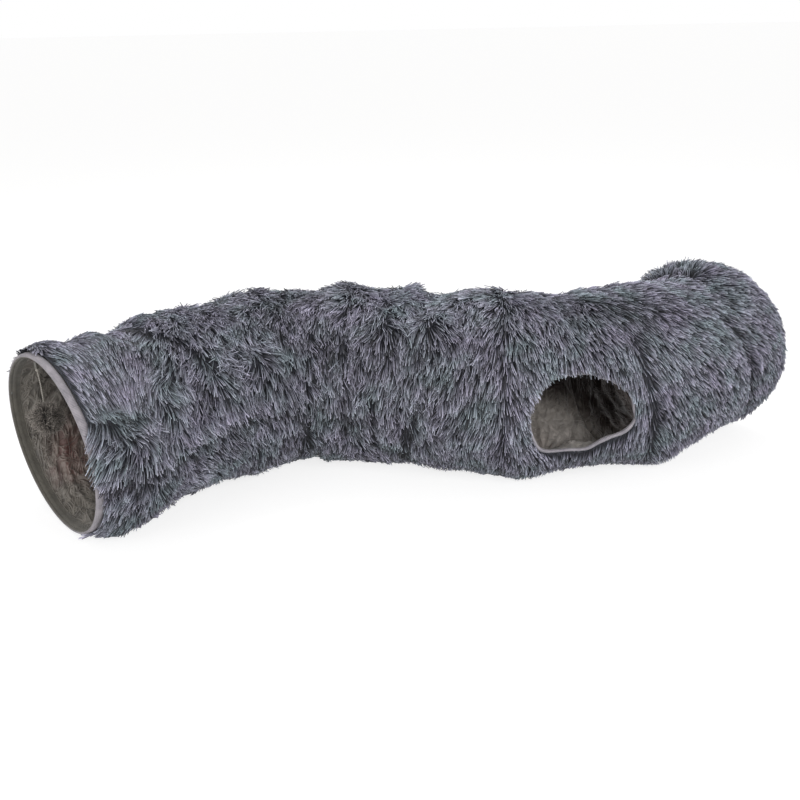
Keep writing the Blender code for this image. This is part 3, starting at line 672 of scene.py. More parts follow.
# The humps and hollows of the cloth: (distance, how far it stands out in millimetres), along its top and along its
# lower near side
TOP_LINE = (
    (0, 6), (0.03, 0), (0.06, -14), (0.09, -5), (0.13, -25), (0.165, 2), (0.20, -1), (0.275, -15), (0.34, 2), (0.43, -14),
    (0.47, -5), (0.52, -10), (0.56, 2), (0.60, -22), (0.66, -6), (0.71, 3), (0.80, -13), (0.88, 2), (0.99, -12),
    (1.04, -10), (1.07, 1), (1.13, 3),
)
LOWER_LINE = (
    (0, -1), (0.04, 11), (0.08, 9), (0.12, -4), (0.20, -7), (0.28, 3), (0.40, -8), (0.42, 4), (0.55, 7), (0.58, 1),
    (0.68, 5), (0.74, 14), (0.79, -1), (0.85, -3), (0.92, 14), (0.98, -6), (1.04, -7), (1.08, 0), (1.13, -3),
)


def round_degrees(angle):
    """The angle in degrees from -90, under the tunnel, to 270."""
    turned = np.degrees(angle) % 360
    return np.where(turned > 270, turned - 360, turned)


def creases_near(bay, run, angle):
    """For each crease: its depth, how far every point is from it, and the direction away from it along and round the tunnel."""
    spot, arc = STARTS[bay] + run, np.radians(round_degrees(angle)) * 0.135
    spot = spot + 0.0035 * ripple(bay, run, angle, 0.030, seed=5.0)
    found = []
    for first, first_angle, last, last_angle, depth in CREASES:
        if last + 0.06 < STARTS[bay] or first - 0.06 > STARTS[bay + 1]:
            continue
        start = np.array([first, radians(first_angle) * 0.135])
        step = np.array([last, radians(last_angle) * 0.135]) - start
        share = np.clip(((spot - start[0]) * step[0] + (arc - start[1]) * step[1]) / (step @ step), 0, 1)
        dx, dy = spot - start[0] - share * step[0], arc - start[1] - share * step[1]
        away = np.hypot(dx, dy) + 1e-6
        found.append((depth, away, dx / away, dy / away))
    return found


def peephole_outline(grow, steps=5):
    """The hole's smooth outline as points sideways and upwards from its middle, counter-clockwise, moved out by that much."""
    knots = np.array(PEEPHOLE_EDGE) / 1000
    before, after, beyond = np.roll(knots, 1, 0), np.roll(knots, -1, 0), np.roll(knots, -2, 0)
    share = (np.arange(steps) / steps)[None, :, None]
    a, b, c, d = (part[:, None, :] for part in (before, knots, after, beyond))
    line = 0.5 * (2 * b + (c - a) * share + (2 * a - 5 * b + 4 * c - d) * share ** 2 + (3 * b - a - 3 * c + d) * share ** 3)
    line = line.reshape(-1, 2)
    ahead = np.roll(line, -1, 0) - np.roll(line, 1, 0)
    return line + grow * np.stack([ahead[:, 1], -ahead[:, 0]], -1) / np.linalg.norm(ahead, axis=1)[:, None]


def peephole_distance(bay, run, angle):
    """How far a place on the cloth is outside the peephole's edge, in metres, and its offset from the middle."""
    if bay != PEEPHOLE_BAY:
        return np.full(np.shape(run), 1.0), np.zeros(np.shape(run)), np.zeros(np.shape(run))
    curve = curvature(bay)
    ahead = (1 / curve - BACKING_RADIUS * np.cos(angle)) * np.sin(curve * (run - BAY_LENGTHS[bay] / 2))
    up = BACKING_RADIUS * np.sin(angle) - PEEPHOLE_RISE
    line = peephole_outline(0.0)
    nearest, crossed = np.full(np.shape(run), 1.0), np.zeros(np.shape(run), bool)
    for first, last in zip(line, np.roll(line, -1, 0)):
        step = last - first
        share = np.clip(((ahead - first[0]) * step[0] + (up - first[1]) * step[1]) / (step @ step), 0, 1)
        nearest = np.minimum(nearest, np.hypot(ahead - first[0] - share * step[0], up - first[1] - share * step[1]))
        if step[1]:
            passes = ((first[1] > up) != (last[1] > up)) & (ahead < first[0] + (up - first[1]) / step[1] * step[0])
            crossed = crossed ^ passes
    return np.where(np.cos(angle) < 0, np.where(crossed, -nearest, nearest), 1.0), ahead, up


def outline(bay, run, angle):
    """How far the cloth stands out or in along the tunnel's top and its lower near side, in metres."""
    spot, turned = STARTS[bay] + run, round_degrees(angle)
    top = np.interp(spot, *zip(*TOP_LINE)) * np.exp(-((turned - 76) / 36) ** 2)
    low = np.interp(spot, *zip(*LOWER_LINE)) * np.exp(-((turned - 238) / 30) ** 2)
    # Sewn down at the bindings, so it can't stand out there
    free = smooth_step(np.minimum(spot, STARTS[-1] - spot), 0.008, 0.026)
    line = (top + low) / 1000
    return np.minimum(line, 0) + np.maximum(line, 0) * free


def sag_in(bay, run, angle):
    """How far the cloth may hang in between two hoops where the outline dips, in metres, none or less."""
    share = np.clip(run / BAY_LENGTHS[bay], 0, 1)
    return np.clip(outline(bay, run, angle), -DEEPEST_SAG, 0) * 4 * share * (1 - share)


def groom(bay, run, angle):
    """The pile's direction along and round the tunnel, its length, rise, thickness on the ground, looseness and
    lightness, which carries painted light and shade.
    """
    spot, turned = STARTS[bay] + run, round_degrees(angle)
    near_side, near_or_top = np.cos(angle) < 0, np.cos(angle) < 0.6
    loose = np.interp(spot, *zip(*UNKEMPT))
    flat_left = (1 - smooth_step(spot, 0.110, 0.150)) * (1 - smooth_step(turned, 138, 148)) * smooth_step(turned, 44, 60)
    loose = loose * (1 - 0.70 * flat_left)
    below = smooth_step(turned, 148, 176)
    along = np.interp(spot, *zip(*LEAN_ABOVE)) * (1 - below) + np.interp(spot, *zip(*LEAN_BELOW)) * below
    combed = (1 - smooth_step(spot, 0.17, 0.23)) * np.exp(-((turned - 68) / 30) ** 2)
    along, loose = along * (1 - combed) + 0.20 * combed, loose * (1 - 0.75 * combed)
    across = np.clip(-1.5 * np.cos(angle + radians(14)), -1, 1) * (1 - combed) + 0.9 * combed
    for grain, share, seed in ((0.055, 0.65, 3.1), (0.022, 0.55, 9.7)):
        along = along + loose * share * ripple(bay, run, angle, grain, seed=seed)
        across = across + loose * share * ripple(bay, run, angle, grain, seed=seed + 40)
    rise = 0.0072 + 0.0030 * ripple(bay, run, angle, 0.030, seed=21.0) * (0.4 + loose)
    length = (0.0235 + 0.004 * ripple(bay, run, angle, 0.035, seed=33.0)) * (1 - 0.22 * smooth_step(spot, 0.84, 0.95))
    density = np.ones_like(spot)
    shade = np.interp(spot, *zip(*PAINTED_LIGHTNESS)) + 0.10 * ripple(bay, run, angle, 0.045, seed=51.0)
    for far, at, reach, degrees, change in PAINTED_LIGHT_PATCHES:
        shade = shade + change * np.exp(-((spot - far) / reach) ** 2 - ((turned - at) / degrees) ** 2)
    skyline = np.exp(-((turned - 74) / 26) ** 2)
    for far, at, reach, strength, spin in WHORLS:
        dx, dy = spot - far, radians(1) * (turned - at) * 0.135
        away = np.hypot(dx, dy) + 1e-6
        pull = strength * np.exp(-(away / reach) ** 2) * away / (away + 0.006)
        turn = radians(spin)
        along, across = along + pull * (dx * cos(turn) - dy * sin(turn)) / away, across + pull * (dx * sin(turn) + dy * cos(turn)) / away
        rise = rise + 0.0036 * strength * np.exp(-(away / (0.6 * reach)) ** 2) * (1 - 0.7 * skyline)
        # Painted shade where the strands part at the whorl's middle
        shade = shade - 0.03 * strength * np.exp(-(away / (0.4 * reach)) ** 2)
    for depth, away, dx, dy in creases_near(bay, run, angle):
        pull = 0.7 * depth * np.exp(-(away / 0.010) ** 2) * away / (away + 0.002)
        along, across = along + pull * dx, across + pull * dy
        rise = rise * (1 - 0.45 * min(depth, 1) * np.exp(-(away / 0.009) ** 2))
        # Painted shade along the crease
        shade = shade - 0.30 * depth * np.exp(-(away / 0.0055) ** 2)
        density = density * (1 - 0.80 * min(depth, 1) * np.exp(-(away / 0.0035) ** 2))
    # The pleat laid over bay 1: raised past its edge, with painted light on the raised part and a painted shadow before
    # it
    past_pleat = spot + 0.003 * ripple(bay, run, angle, 0.020, seed=81.0) - np.interp(turned, (60, 70, 105, 139), (0.126, 0.137, 0.159, 0.204))
    pleat = smooth_step(turned, 50, 62) * (1 - smooth_step(turned, 132, 146)) * near_or_top
    raised = pleat * smooth_step(past_pleat, -0.001, 0.004) * (1 - smooth_step(past_pleat, 0.010, 0.040))
    rise, shade = rise + 0.0045 * raised, shade + 0.12 * raised - 0.40 * pleat * np.exp(-((past_pleat + 0.004) / 0.0045) ** 2)
    # Long tips end together along the break line and overhang shorter pile, with painted light on the long tips,
    # painted shade below them and a darker painted shadow just under their ends
    places, angles, marks = zip(*BREAK_LINE)
    wander = 3.5 * ripple(bay, run, angle, 0.024, seed=71.0) + 3.0 * ripple(bay, run, angle, 0.009, seed=73.0)
    above_break = radians(1) * (np.interp(spot, places, angles) + wander - turned) * 0.135
    marked = np.interp(spot, places, marks) * near_side
    upper = marked * smooth_step(above_break, 0.0, 0.004) * (1 - smooth_step(above_break, 0.024, 0.050))
    lower = marked * smooth_step(above_break, -0.030, -0.008) * (1 - smooth_step(above_break, -0.001, 0.003))
    close = marked * smooth_step(above_break, -0.014, -0.005) * (1 - smooth_step(above_break, 0.001, 0.004))
    rise = (rise + 0.0085 * upper) * (1 - 0.50 * lower)
    length = length * (1 - upper) + np.minimum(length + 0.005, np.maximum(above_break, 0) + 0.008) * upper
    shade = shade + 0.12 * upper - 0.10 * lower - 0.45 * close
    across = across + 0.5 * upper
    # Combed flat at the mouths, where it meets the binding, and lying closer low down
    rise, length = rise * (1 - 0.68 * flat_left) * (1 - 0.50 * combed), length + 0.005 * flat_left
    rise = rise * (1 - 0.35 * smooth_step(turned, 205, 235) * near_side)
    loose = loose * (1 - 0.4 * smooth_step(turned, 205, 235) * near_side)
    for end in (0.0, STARTS[-1]):
        near = np.exp(-((spot - end) / 0.020) ** 2)
        rise, length = rise * (1 - 0.5 * near), length * (1 - 0.35 * near)
    # Below its break the pile falls along and over the left binding, and under it hangs in a fringe
    over = smooth_step(turned, 147, 153) * (1 - smooth_step(turned, 180, 190)) * (1 - smooth_step(spot, 0.010, 0.036))
    over_top = smooth_step(turned, 46, 58) * (1 - smooth_step(turned, 84, 94)) * (1 - smooth_step(spot, 0.008, 0.022))
    fringe = smooth_step(turned, 196, 206) * (1 - smooth_step(turned, 230, 246)) * (1 - smooth_step(spot, 0.025, 0.055))
    along = along * (1 - over) - 1.00 * over
    across = across * (1 - over) + 1.0 * over
    along = along * (1 - over_top) - 0.50 * over_top
    along = along * (1 - fringe) - 0.25 * fringe + 0.35 * smooth_step(turned, 234, 246) * (1 - smooth_step(spot, 0.02, 0.04))
    loose = loose * (1 - 0.65 * np.maximum(over, fringe))
    length = length + 0.009 * over + 0.008 * fringe - 0.005 * over_top
    rise = rise + 0.0025 * over + 0.0035 * over_top
    rise = np.maximum(rise + np.minimum(slack_radius(bay, run, angle) + outline(bay, run, angle) - BACKING_RADIUS - sag_in(bay, run, angle), 0), 0.0022)
    # Pressed flat on the floor
    under = smooth_step(-np.sin(angle), 0.93, 0.98)
    rise, density, length = rise * (1 - under) + 0.0012 * under, density * (1 - 0.75 * under), length * (1 - 0.3 * under)
    # Trimmed round the peephole, so that the tips only just hang over its edge
    outside, ahead, up = peephole_distance(bay, run, angle)
    near_hole = np.exp(-(np.maximum(outside, 0) / 0.018) ** 2)
    beside = smooth_step(-ahead, 0.030, 0.045)
    above = np.maximum(smooth_step(up, -0.01, 0.025), beside)
    along = along * (1 - 0.8 * near_hole) + (0.15 * (ahead < 0) + 0.40 * beside) * near_hole
    loose = loose * (1 - 0.5 * near_hole)
    rise = rise * (1 - 0.45 * near_hole)
    room = np.maximum(0.009, np.maximum(outside, 0) + 0.0075)
    length = np.where(outside < 0.06, np.minimum(length, room * above + length * (1 - above)), length)
    return along, across, length, np.maximum(rise, 0.001), density, loose, shade, outside - 0.0008


# Cloth

def slack_radius(bay, run, angle):
    """The backing's inner radius where it is only loose between the hoops, lumpy, and dipping along the creases."""
    loose = slack(bay, run, angle)
    lumps = 0.5 + 0.5 * ripple(bay, run, angle, 0.060, seed=2.0)
    radius = BACKING_RADIUS + CLOTH_PUFF * loose + 0.0040 * np.sqrt(np.clip(loose, 0, 1)) * lumps
    for depth, away, _, _ in creases_near(bay, run, angle):
        radius = radius - CLOTH_PUFF * loose * min(depth, 1) * np.exp(-(away / 0.014) ** 2) * 0.9
    return radius


def skin_radius(bay, run, angle):
    """The backing's inner radius, which stays outside the hoops' casings and hangs in a little between them."""
    return np.maximum(slack_radius(bay, run, angle) + outline(bay, run, angle), BACKING_RADIUS + sag_in(bay, run, angle))


def bay_grid(bay, past_binding, rows, sides):
    """Distances along a bay and angles round it, from one seam or binding to the next."""
    low = past_binding if bay == 0 else SEAM_GAP
    high = BAY_LENGTHS[bay] - (past_binding if bay == BAYS - 1 else SEAM_GAP)
    return np.meshgrid(np.linspace(low, high, rows), np.arange(sides) * tau / sides, indexing="ij")


def cut_line(bay, run, angle):
    """How far each point of a bay's grid lies outside the line where the cloth is cut, 1 mm behind the hem."""
    return peephole_distance(bay, run, angle)[0] - 0.0012 if bay == PEEPHOLE_BAY else None


def backing(bay):
    """A bay's knitted backing."""
    holed = bay == PEEPHOLE_BAY
    run, angle = bay_grid(bay, PAST_BINDING_OUTSIDE, 56 if holed else 28, 224 if holed else 128)
    radius = skin_radius(bay, run, angle)
    outer = tunnel_points(bay, run, angle, radius + BACKING_THICKNESS)[0]
    inner = tunnel_points(bay, run, angle, radius)[0]
    outer[..., 2] = np.maximum(outer[..., 2], ON_FLOOR)
    inner[..., 2] = np.maximum(inner[..., 2], ON_FLOOR + BACKING_THICKNESS)
    return wall(f"plush_{bay + 1}_backing", outer, inner, BACKING, cut_line(bay, run, angle))


def seedbed(bay):
    """The backing's outer face alone, finely divided, for the pile to grow from. It is removed afterwards."""
    rows, sides = (60, 280) if bay < 4 else (40, 192)
    run, angle = bay_grid(bay, PAST_BINDING_OUTSIDE, rows, sides)
    points = tunnel_points(bay, run, angle, skin_radius(bay, run, angle) + BACKING_THICKNESS)[0].reshape(-1, 3)
    points[:, 2] = np.maximum(points[:, 2], ON_FLOOR)
    faces = []
    for row in range(rows - 1):
        for side in range(sides):
            a, b = row * sides + side, row * sides + (side + 1) % sides
            faces.append((a, b, b + sides, a + sides))
    return new_piece("seedbed", points, faces, BACKING), run.ravel(), angle.ravel()


def fanned(bay, run, angle):
    """Folds drawn towards the hole's lower left corner, 1 on their crests, and how far each point is from that corner."""
    arc, ahead = np.radians(np.degrees(angle) % 360 - 268) * 0.125, run - 0.060
    bearing = np.arctan2(arc, ahead) * 8.5 + 1.6 * ripple(bay, run, angle, 0.05, seed=61.0)
    return 1 - np.abs(np.sin(bearing)), np.hypot(ahead, arc) + 1e-6


def lining(bay):
    """A bay's lining: taffeta that sags between the hoops in creases, gathered where it is sewn."""
    seen = bay in (0, PEEPHOLE_BAY, BAYS - 1)
    run, angle = bay_grid(bay, PAST_BINDING_INSIDE, (44 if bay == BAYS - 1 else 72) if seen else 24, 288 if seen else 96)
    share = np.clip(run / BAY_LENGTHS[bay], 0, 1)
    free = np.sqrt(4 * share * (1 - share))
    if bay == 0:
        free = free * smooth_step(run, 0.0115, 0.028)
    if bay == BAYS - 1:
        free = free * smooth_step(BAY_LENGTHS[bay] - run, 0.0115, 0.028)
    folds = np.zeros_like(run)
    for grain, along, around, deep, seed in (
        (0.030, 1.0, 3.0, 0.0056, 11.0), (0.026, 2.6, 1.0, 0.0036, 13.0), (0.014, 1.0, 2.6, 0.0030, 17.0), (0.009, 1.6, 1.0, 0.0016, 29.0),
        (0.006, 1.0, 2.2, 0.0010, 37.0),
    )[:5 if seen else 2]:
        folds += deep * (1 - np.abs(ripple(bay, run, angle, grain, along, around, seed)) * 2.2).clip(0, 1) ** 2
    if bay == 0:
        # Shallower folds overhead, where the ball swings
        folds *= 1 - 0.65 * np.exp(-((round_degrees(angle) - 90) / 60) ** 2) * (1 - smooth_step(run, 0.07, 0.12))
    outside = peephole_distance(bay, run, angle)[0]
    if bay == PEEPHOLE_BAY:
        fan, away = fanned(bay, run, angle)
        folds *= 1 - 0.85 * np.exp(-(away / 0.095) ** 2)
        folds += 0.0060 * fan ** 3 * np.exp(-(away / 0.085) ** 2) * smooth_step(away, 0.004, 0.02)
        # A loose fold stands up behind the bottom of the hole
        fold = 0.017 * np.exp(-((run - 0.088) / 0.030) ** 2) * np.exp(-((round_degrees(angle) - 224) / 10) ** 2)
        folds += fold * smooth_step(outside, 0.001, 0.010)
    seam = share if bay == BAYS - 1 else 1 - share if bay == 0 else np.minimum(share, 1 - share)
    pucker = 0.0005 * (1 + np.sin(angle * 70 + 3 * np.sin(angle * 9))) * np.exp(-(seam / 0.05) ** 2)
    pucker = pucker * (0.5 + np.clip(ripple(bay, run, angle, 0.035, seed=91.0), -0.5, 0.5))
    radius = LINING_RADIUS - LINING_SAG * slack(bay, run, angle) - folds * free - pucker + sag_in(bay, run, angle)
    # Drawn out to the plush where both are hemmed together
    hemmed = np.exp(-(np.maximum(outside, 0) / 0.011) ** 2)
    radius = radius * (1 - hemmed) + (skin_radius(bay, run, angle) - 0.0020) * hemmed
    outer = tunnel_points(bay, run, angle, radius)[0]
    inner = tunnel_points(bay, run, angle, radius - LINING_THICKNESS)[0]
    return wall(f"lining_{bay + 1}_taffeta", outer, inner, LINING, cut_line(bay, run, angle))


def peephole_axes():
    x, y, heading = travel(HOOPS[PEEPHOLE_BAY][:2], HOOPS[PEEPHOLE_BAY][2], BAY_LENGTHS[PEEPHOLE_BAY] / 2, curvature(PEEPHOLE_BAY))
    forward = Vector((cos(heading), sin(heading), 0))
    return Vector((x, y, AXIS_HEIGHT)), forward, Vector((-forward.y, forward.x, 0))


def set_facts(mesh, facts):
    """Writes one value for each of the mesh's points under each name."""
    for name, value in facts.items():
        kind = "FLOAT_VECTOR" if np.ndim(value) == 2 else "FLOAT"
        layer = mesh.attributes.get(name) or mesh.attributes.new(name, kind, "POINT")
        layer.data.foreach_set("vector" if kind == "FLOAT_VECTOR" else "value", np.ascontiguousarray(value, np.float32).ravel())


def drop_facts(piece):
    for name in PILE_FACTS:
        layer = piece.data.attributes.get(name)
        if layer:
            piece.data.attributes.remove(layer)


def comb_cloth(cloth, bay, run, angle):
    """Writes how the pile lies on each point of the cloth."""
    along, across, length, rise, density, loose, shade, edge = groom(bay, run, angle)
    _, forward, rounds = tunnel_points(bay, run, angle, BACKING_RADIUS)
    set_facts(cloth.data, {
        "pile_comb": forward * along[:, None] + rounds * across[:, None], "pile_length": length, "pile_rise": rise,
        "pile_density": density, "pile_loose": loose, "pile_shade": shade, "pile_edge": edge,
    })
    return density


# Lining rusted red-brown in places, with painted shade and painted light in others: (distance, angle, reach along,
# reach in degrees, how much)
RUSTED = ((0.056, 324, 0.022, 20, 0.75), (0.975, 303, 0.050, 28, 0.7), (0.90, 60, 0.06, 40, 0.4), (1.09, 200, 0.03, 40, 0.5))
PAINTED_SHADE_SPOTS = ((0.935, 312, 0.055, 34, 1.0), (0.985, 305, 0.035, 34, 0.6), (0.860, 340, 0.085, 17, 1.0), (0.105, 15, 0.045, 32, 0.6))
PAINTED_LIGHT_SPOTS = ((0.830, 290, 0.045, 22, 0.9), (0.790, 305, 0.025, 16, 0.4), (0.806, 224, 0.030, 14, 0.7), (0.795, 320, 0.020, 12, 0.3))


def rust_and_painted_light_lining(cloth, bay):
    # Writes the lining's red-brown rust, its painted shade and its painted light on each point
    mesh = cloth.data
    points = np.zeros(len(mesh.vertices) * 3)
    mesh.vertices.foreach_get("co", points)
    run, angle, _ = unroll(bay, points.reshape(-1, 3))
    spot, turned, facts = STARTS[bay] + run, np.degrees(angle), {}
    fan, away = fanned(bay, run, angle)
    for name, places in (("cloth_rust", RUSTED), ("cloth_painted_shade", PAINTED_SHADE_SPOTS), ("cloth_painted_light", PAINTED_LIGHT_SPOTS)):
        amount = np.zeros_like(run)
        for far, at, reach, degrees, much in places:
            off = (turned - at + 180) % 360 - 180
            amount = amount + much * np.exp(-((spot - far) / reach) ** 2 - (off / degrees) ** 2)
        # Painted shade in narrow lines along the folds fanned towards the hole's lower left corner
        if bay == PEEPHOLE_BAY and name == "cloth_painted_shade":
            amount = amount + 0.75 * fan ** 10 * np.exp(-(away / 0.085) ** 2) * smooth_step(away, 0.006, 0.02)
        # Painted light between those folds, round the same corner
        if bay == PEEPHOLE_BAY and name == "cloth_painted_light":
            amount = amount + 0.45 * (1 - fan) ** 2 * np.exp(-(away / 0.060) ** 2)
        facts[name] = np.clip(amount, 0, 1)
    set_facts(mesh, facts)


def blend_bay(piece):
    """Bakes the piece's transform into its mesh."""
    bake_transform(piece)


STRANDS = 147000.0
for bay in range(BAYS):
    number = bay + 1
    cloth, inside = backing(bay), lining(bay)
    rust_and_painted_light_lining(inside, bay)
    halves = []
    bed, run, angle = seedbed(bay)
    behind = np.where(np.sin(angle) < 0, np.cos(angle) > 0, smooth_step(np.cos(angle), 0.35, 0.65))
    density = comb_cloth(bed, bay, run, angle) * (1 - 0.38 * behind)
    for half, side in ((1, "near"), (-1, "far")):
        set_facts(bed.data, {"pile_density": density * (np.cos(angle) * half < 0)})
        halves.append(grown(bed, PILE, f"plush_{number}_pile_{side}", {
            "Strands per Square Metre": STRANDS, "Seed": 10 * number + half, "Yarn": PLUSH,
            "Strand Width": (0.0011 if side == "near" else 0.0012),
        }))
    bpy.data.objects.remove(bed)
    for piece in (cloth, *halves):
        blend_bay(piece)
        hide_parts(f"plush_bay_{number}")
    blend_bay(inside)
    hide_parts(f"lining_bay_{number}")


# Sewing: a node tree that lays stitches along a line, at their pitch

def stitch_tree():
    tree = bpy.data.node_groups.new("Stitches", "GeometryNodeTree")
    tree.interface.new_socket("Line", in_out="INPUT", socket_type="NodeSocketGeometry")
    for name, value in (("Pitch", 0.0036), ("Stitch Length", 0.0027), ("Thread Width", 0.0006)):
        tree.interface.new_socket(name, in_out="INPUT", socket_type="NodeSocketFloat").default_value = value
    tree.interface.new_socket("Thread", in_out="INPUT", socket_type="NodeSocketMaterial")
    tree.interface.new_socket("Stitches", in_out="OUTPUT", socket_type="NodeSocketGeometry")
    given = add(tree, "NodeGroupInput").outputs
    line = add(tree, "GeometryNodeMeshToCurve", {"Mesh": given["Line"]}).outputs[0]
    spaced = add(tree, "GeometryNodeResampleCurve", {"Curve": line, "Length": given["Pitch"]}, mode="LENGTH")
    ahead = add(tree, "GeometryNodeInputTangent").outputs[0]
    first = add(tree, "FunctionNodeAlignRotationToVector", {"Vector": ahead}, axis="X").outputs[0]
    up = add(tree, "GeometryNodeInputNamedAttribute", {"Name": "outward"}, data_type="FLOAT_VECTOR").outputs["Attribute"]
    turned = add(
        tree, "FunctionNodeAlignRotationToVector", {"Rotation": first, "Vector": up}, axis="Z", pivot_axis="X",
    ).outputs[0]
    half = add(tree, "ShaderNodeMath", {0: given["Stitch Length"], 1: 0.5}, operation="MULTIPLY").outputs[0]
    back = add(tree, "ShaderNodeMath", {0: half, 1: -1.0}, operation="MULTIPLY").outputs[0]
    low = add(tree, "ShaderNodeMath", {0: given["Thread Width"], 1: -0.4}, operation="MULTIPLY").outputs[0]
    ends = [add(tree, "ShaderNodeCombineXYZ", {0: x, 2: low}).outputs[0] for x in (back, half)]
    crown = add(tree, "ShaderNodeCombineXYZ", {2: given["Thread Width"]}).outputs[0]
    bow = add(tree, "GeometryNodeCurveQuadraticBezier", {"Resolution": 4, "Start": ends[0], "Middle": crown, "End": ends[1]}).outputs[0]
    radius = add(tree, "ShaderNodeMath", {0: given["Thread Width"], 1: 0.5}, operation="MULTIPLY").outputs[0]
    section = add(tree, "GeometryNodeCurvePrimitiveCircle", {"Resolution": 5, "Radius": radius}).outputs["Curve"]
    stitch = add(tree, "GeometryNodeCurveToMesh", {"Curve": bow, "Profile Curve": section, "Fill Caps": True}).outputs[0]
    sewn = add(tree, "GeometryNodeInstanceOnPoints", {"Points": spaced.outputs[0], "Instance": stitch, "Rotation": turned}).outputs[0]
    solid = add(tree, "GeometryNodeRealizeInstances", {"Geometry": sewn}).outputs[0]
    smooth = add(tree, "GeometryNodeSetShadeSmooth", {"Geometry": solid}).outputs[0]
    dyed = add(tree, "GeometryNodeSetMaterial", {"Geometry": smooth, "Material": given["Thread"]}).outputs[0]
    tree.links.new(dyed, add(tree, "NodeGroupOutput").inputs[0])
    return tree


STITCHES = stitch_tree()


def sew(name, points, outward, body_call):
    """Stitches round a closed line of points, standing on a surface that faces outward there."""
    mesh = bpy.data.meshes.new(name)
    count = len(points)
    mesh.from_pydata([tuple(p) for p in points], [(n, (n + 1) % count) for n in range(count)], [])
    layer = mesh.attributes.new("outward", "FLOAT_VECTOR", "POINT")
    layer.data.foreach_set("vector", np.array([tuple(v) for v in outward], np.float32).ravel())
    line = bpy.data.objects.new(name + "_line", mesh)
    bpy.context.scene.collection.objects.link(line)
    made = grown(line, STITCHES, name, {"Thread": THREAD}, keep_source=False)
    layer = made.data.attributes.get("outward")
    if layer:
        made.data.attributes.remove(layer)
    body_call(made)
    return made


# Mouth bindings

RING_STEPS = 240
OUTER_LIMB, INNER_LIMB = 0.0068, 0.0079
NOSE = 0.0031
TAPE_SKIN = 0.0006
FACING_DEPTH = 0.0115


def round_mouth(hoop, inward, step, section):
    """A section of (ahead, distance from the hoop's wire) set at one of the steps round a mouth."""
    centre, forward, left, up = hoop_axes(hoop)
    outward = left * cos(tau * step / RING_STEPS) + up * sin(tau * step / RING_STEPS)
    points = [centre + forward * (inward * ahead) + outward * (HOOP_RADIUS + away) for ahead, away in section]
    return points if inward > 0 else points[::-1]


def uneven(step, pitch, seed):
    turn = tau * step / RING_STEPS
    return noise.noise(Vector((cos(turn) * pitch, sin(turn) * pitch, seed)))


def mouth_row(hoop, inward, ahead, away):
    """Points round a mouth for a row of stitches, and the direction that they face."""
    centre, forward, left, up = hoop_axes(hoop)
    points, outward = [], []
    for step in range(RING_STEPS):
        out = left * cos(tau * step / RING_STEPS) + up * sin(tau * step / RING_STEPS)
        points.append(centre + forward * (inward * ahead) + out * (HOOP_RADIUS + away))
        outward.append(out)
    return points, outward


def binding(side, hoop, inward, node):
    """Tape folded over a mouth's hoop and stitched, with a facing inside that ends in a corded edge; inside the mouth
    both are olive grey, darkened by painted shade.
    """
    tape_sections, facing_sections = [], []
    for step in range(RING_STEPS):
        wobble, lift = 0.0009 * uneven(step, 5, hoop), 0.0005 * uneven(step, 16, hoop + 4) + 0.0003 * uneven(step, 44, hoop + 6)
        outer, inset = NOSE + lift, NOSE - TAPE_SKIN
        section = [(OUTER_LIMB + wobble, outer), (0.0025, outer)] + [(-NOSE * sin(a), outer * cos(a)) for a in np.linspace(0, pi, 11)]
        section += [(0.0030, -NOSE), (INNER_LIMB, -NOSE), (INNER_LIMB, -inset), (0.0030, -inset)]
        section += [(-inset * sin(a), -inset * cos(a)) for a in np.linspace(0, pi, 11)] + [(0.0025, inset), (OUTER_LIMB + wobble, inset)]
        tape_sections.append(round_mouth(hoop, inward, step, section))
        slack_edge, ripple_in = 0.0012 * uneven(step, 7, hoop + 9), 0.0005 * uneven(step, 22, hoop + 2)
        edge, inner = FACING_DEPTH + slack_edge, -0.0037 + ripple_in
        cord = [(edge + 0.0012 * sin(a), inner - 0.0004 - 0.0011 * cos(a)) for a in np.linspace(0, pi, 7)]
        section = [(0.0010, -0.0034), (0.0060, inner - 0.0003), (edge - 0.0022, inner - 0.0004)] + cord
        section += [(edge - 0.0022, inner + 0.0003), (0.0060, inner + 0.0004), (0.0010, -0.0029)]
        facing_sections.append(round_mouth(hoop, inward, step, section))
    tape = ring_tape(f"{side}_mouth_binding", tape_sections, TAPE)
    facing = ring_tape(f"{side}_mouth_facing", facing_sections, SHADED_OLIVE_TAPE)
    # From the front of the nose inwards the tape is the olive grey one, darkened by painted shade, and the facing's
    # edge is piped
    tape.data.materials.append(SHADED_OLIVE_TAPE)
    facing.data.materials.append(PIPING)
    steps = len(facing_sections[0])
    for number, polygon in enumerate(facing.data.polygons):
        place = number % steps
        place = place if inward > 0 else steps - 2 - place
        polygon.material_index = 1 if 3 <= place <= 9 else 0
    steps = len(tape_sections[0])
    for number, polygon in enumerate(tape.data.polygons):
        place = number % steps
        place = place if inward > 0 else steps - 2 - place
        polygon.material_index = 1 if 8 <= place <= 14 else 0
    for piece in (tape, facing):
        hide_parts(node)
        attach(piece, BODIES[hoop])
    points, outward = mouth_row(hoop, inward, 0.0054, NOSE + 0.0002)
    sew(f"{side}_mouth_stitches", points, outward, lambda made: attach(made, BODIES[hoop]))


binding("left", 0, 1, "mouth_binding_left")
binding("right", BAYS, -1, "mouth_binding_right")

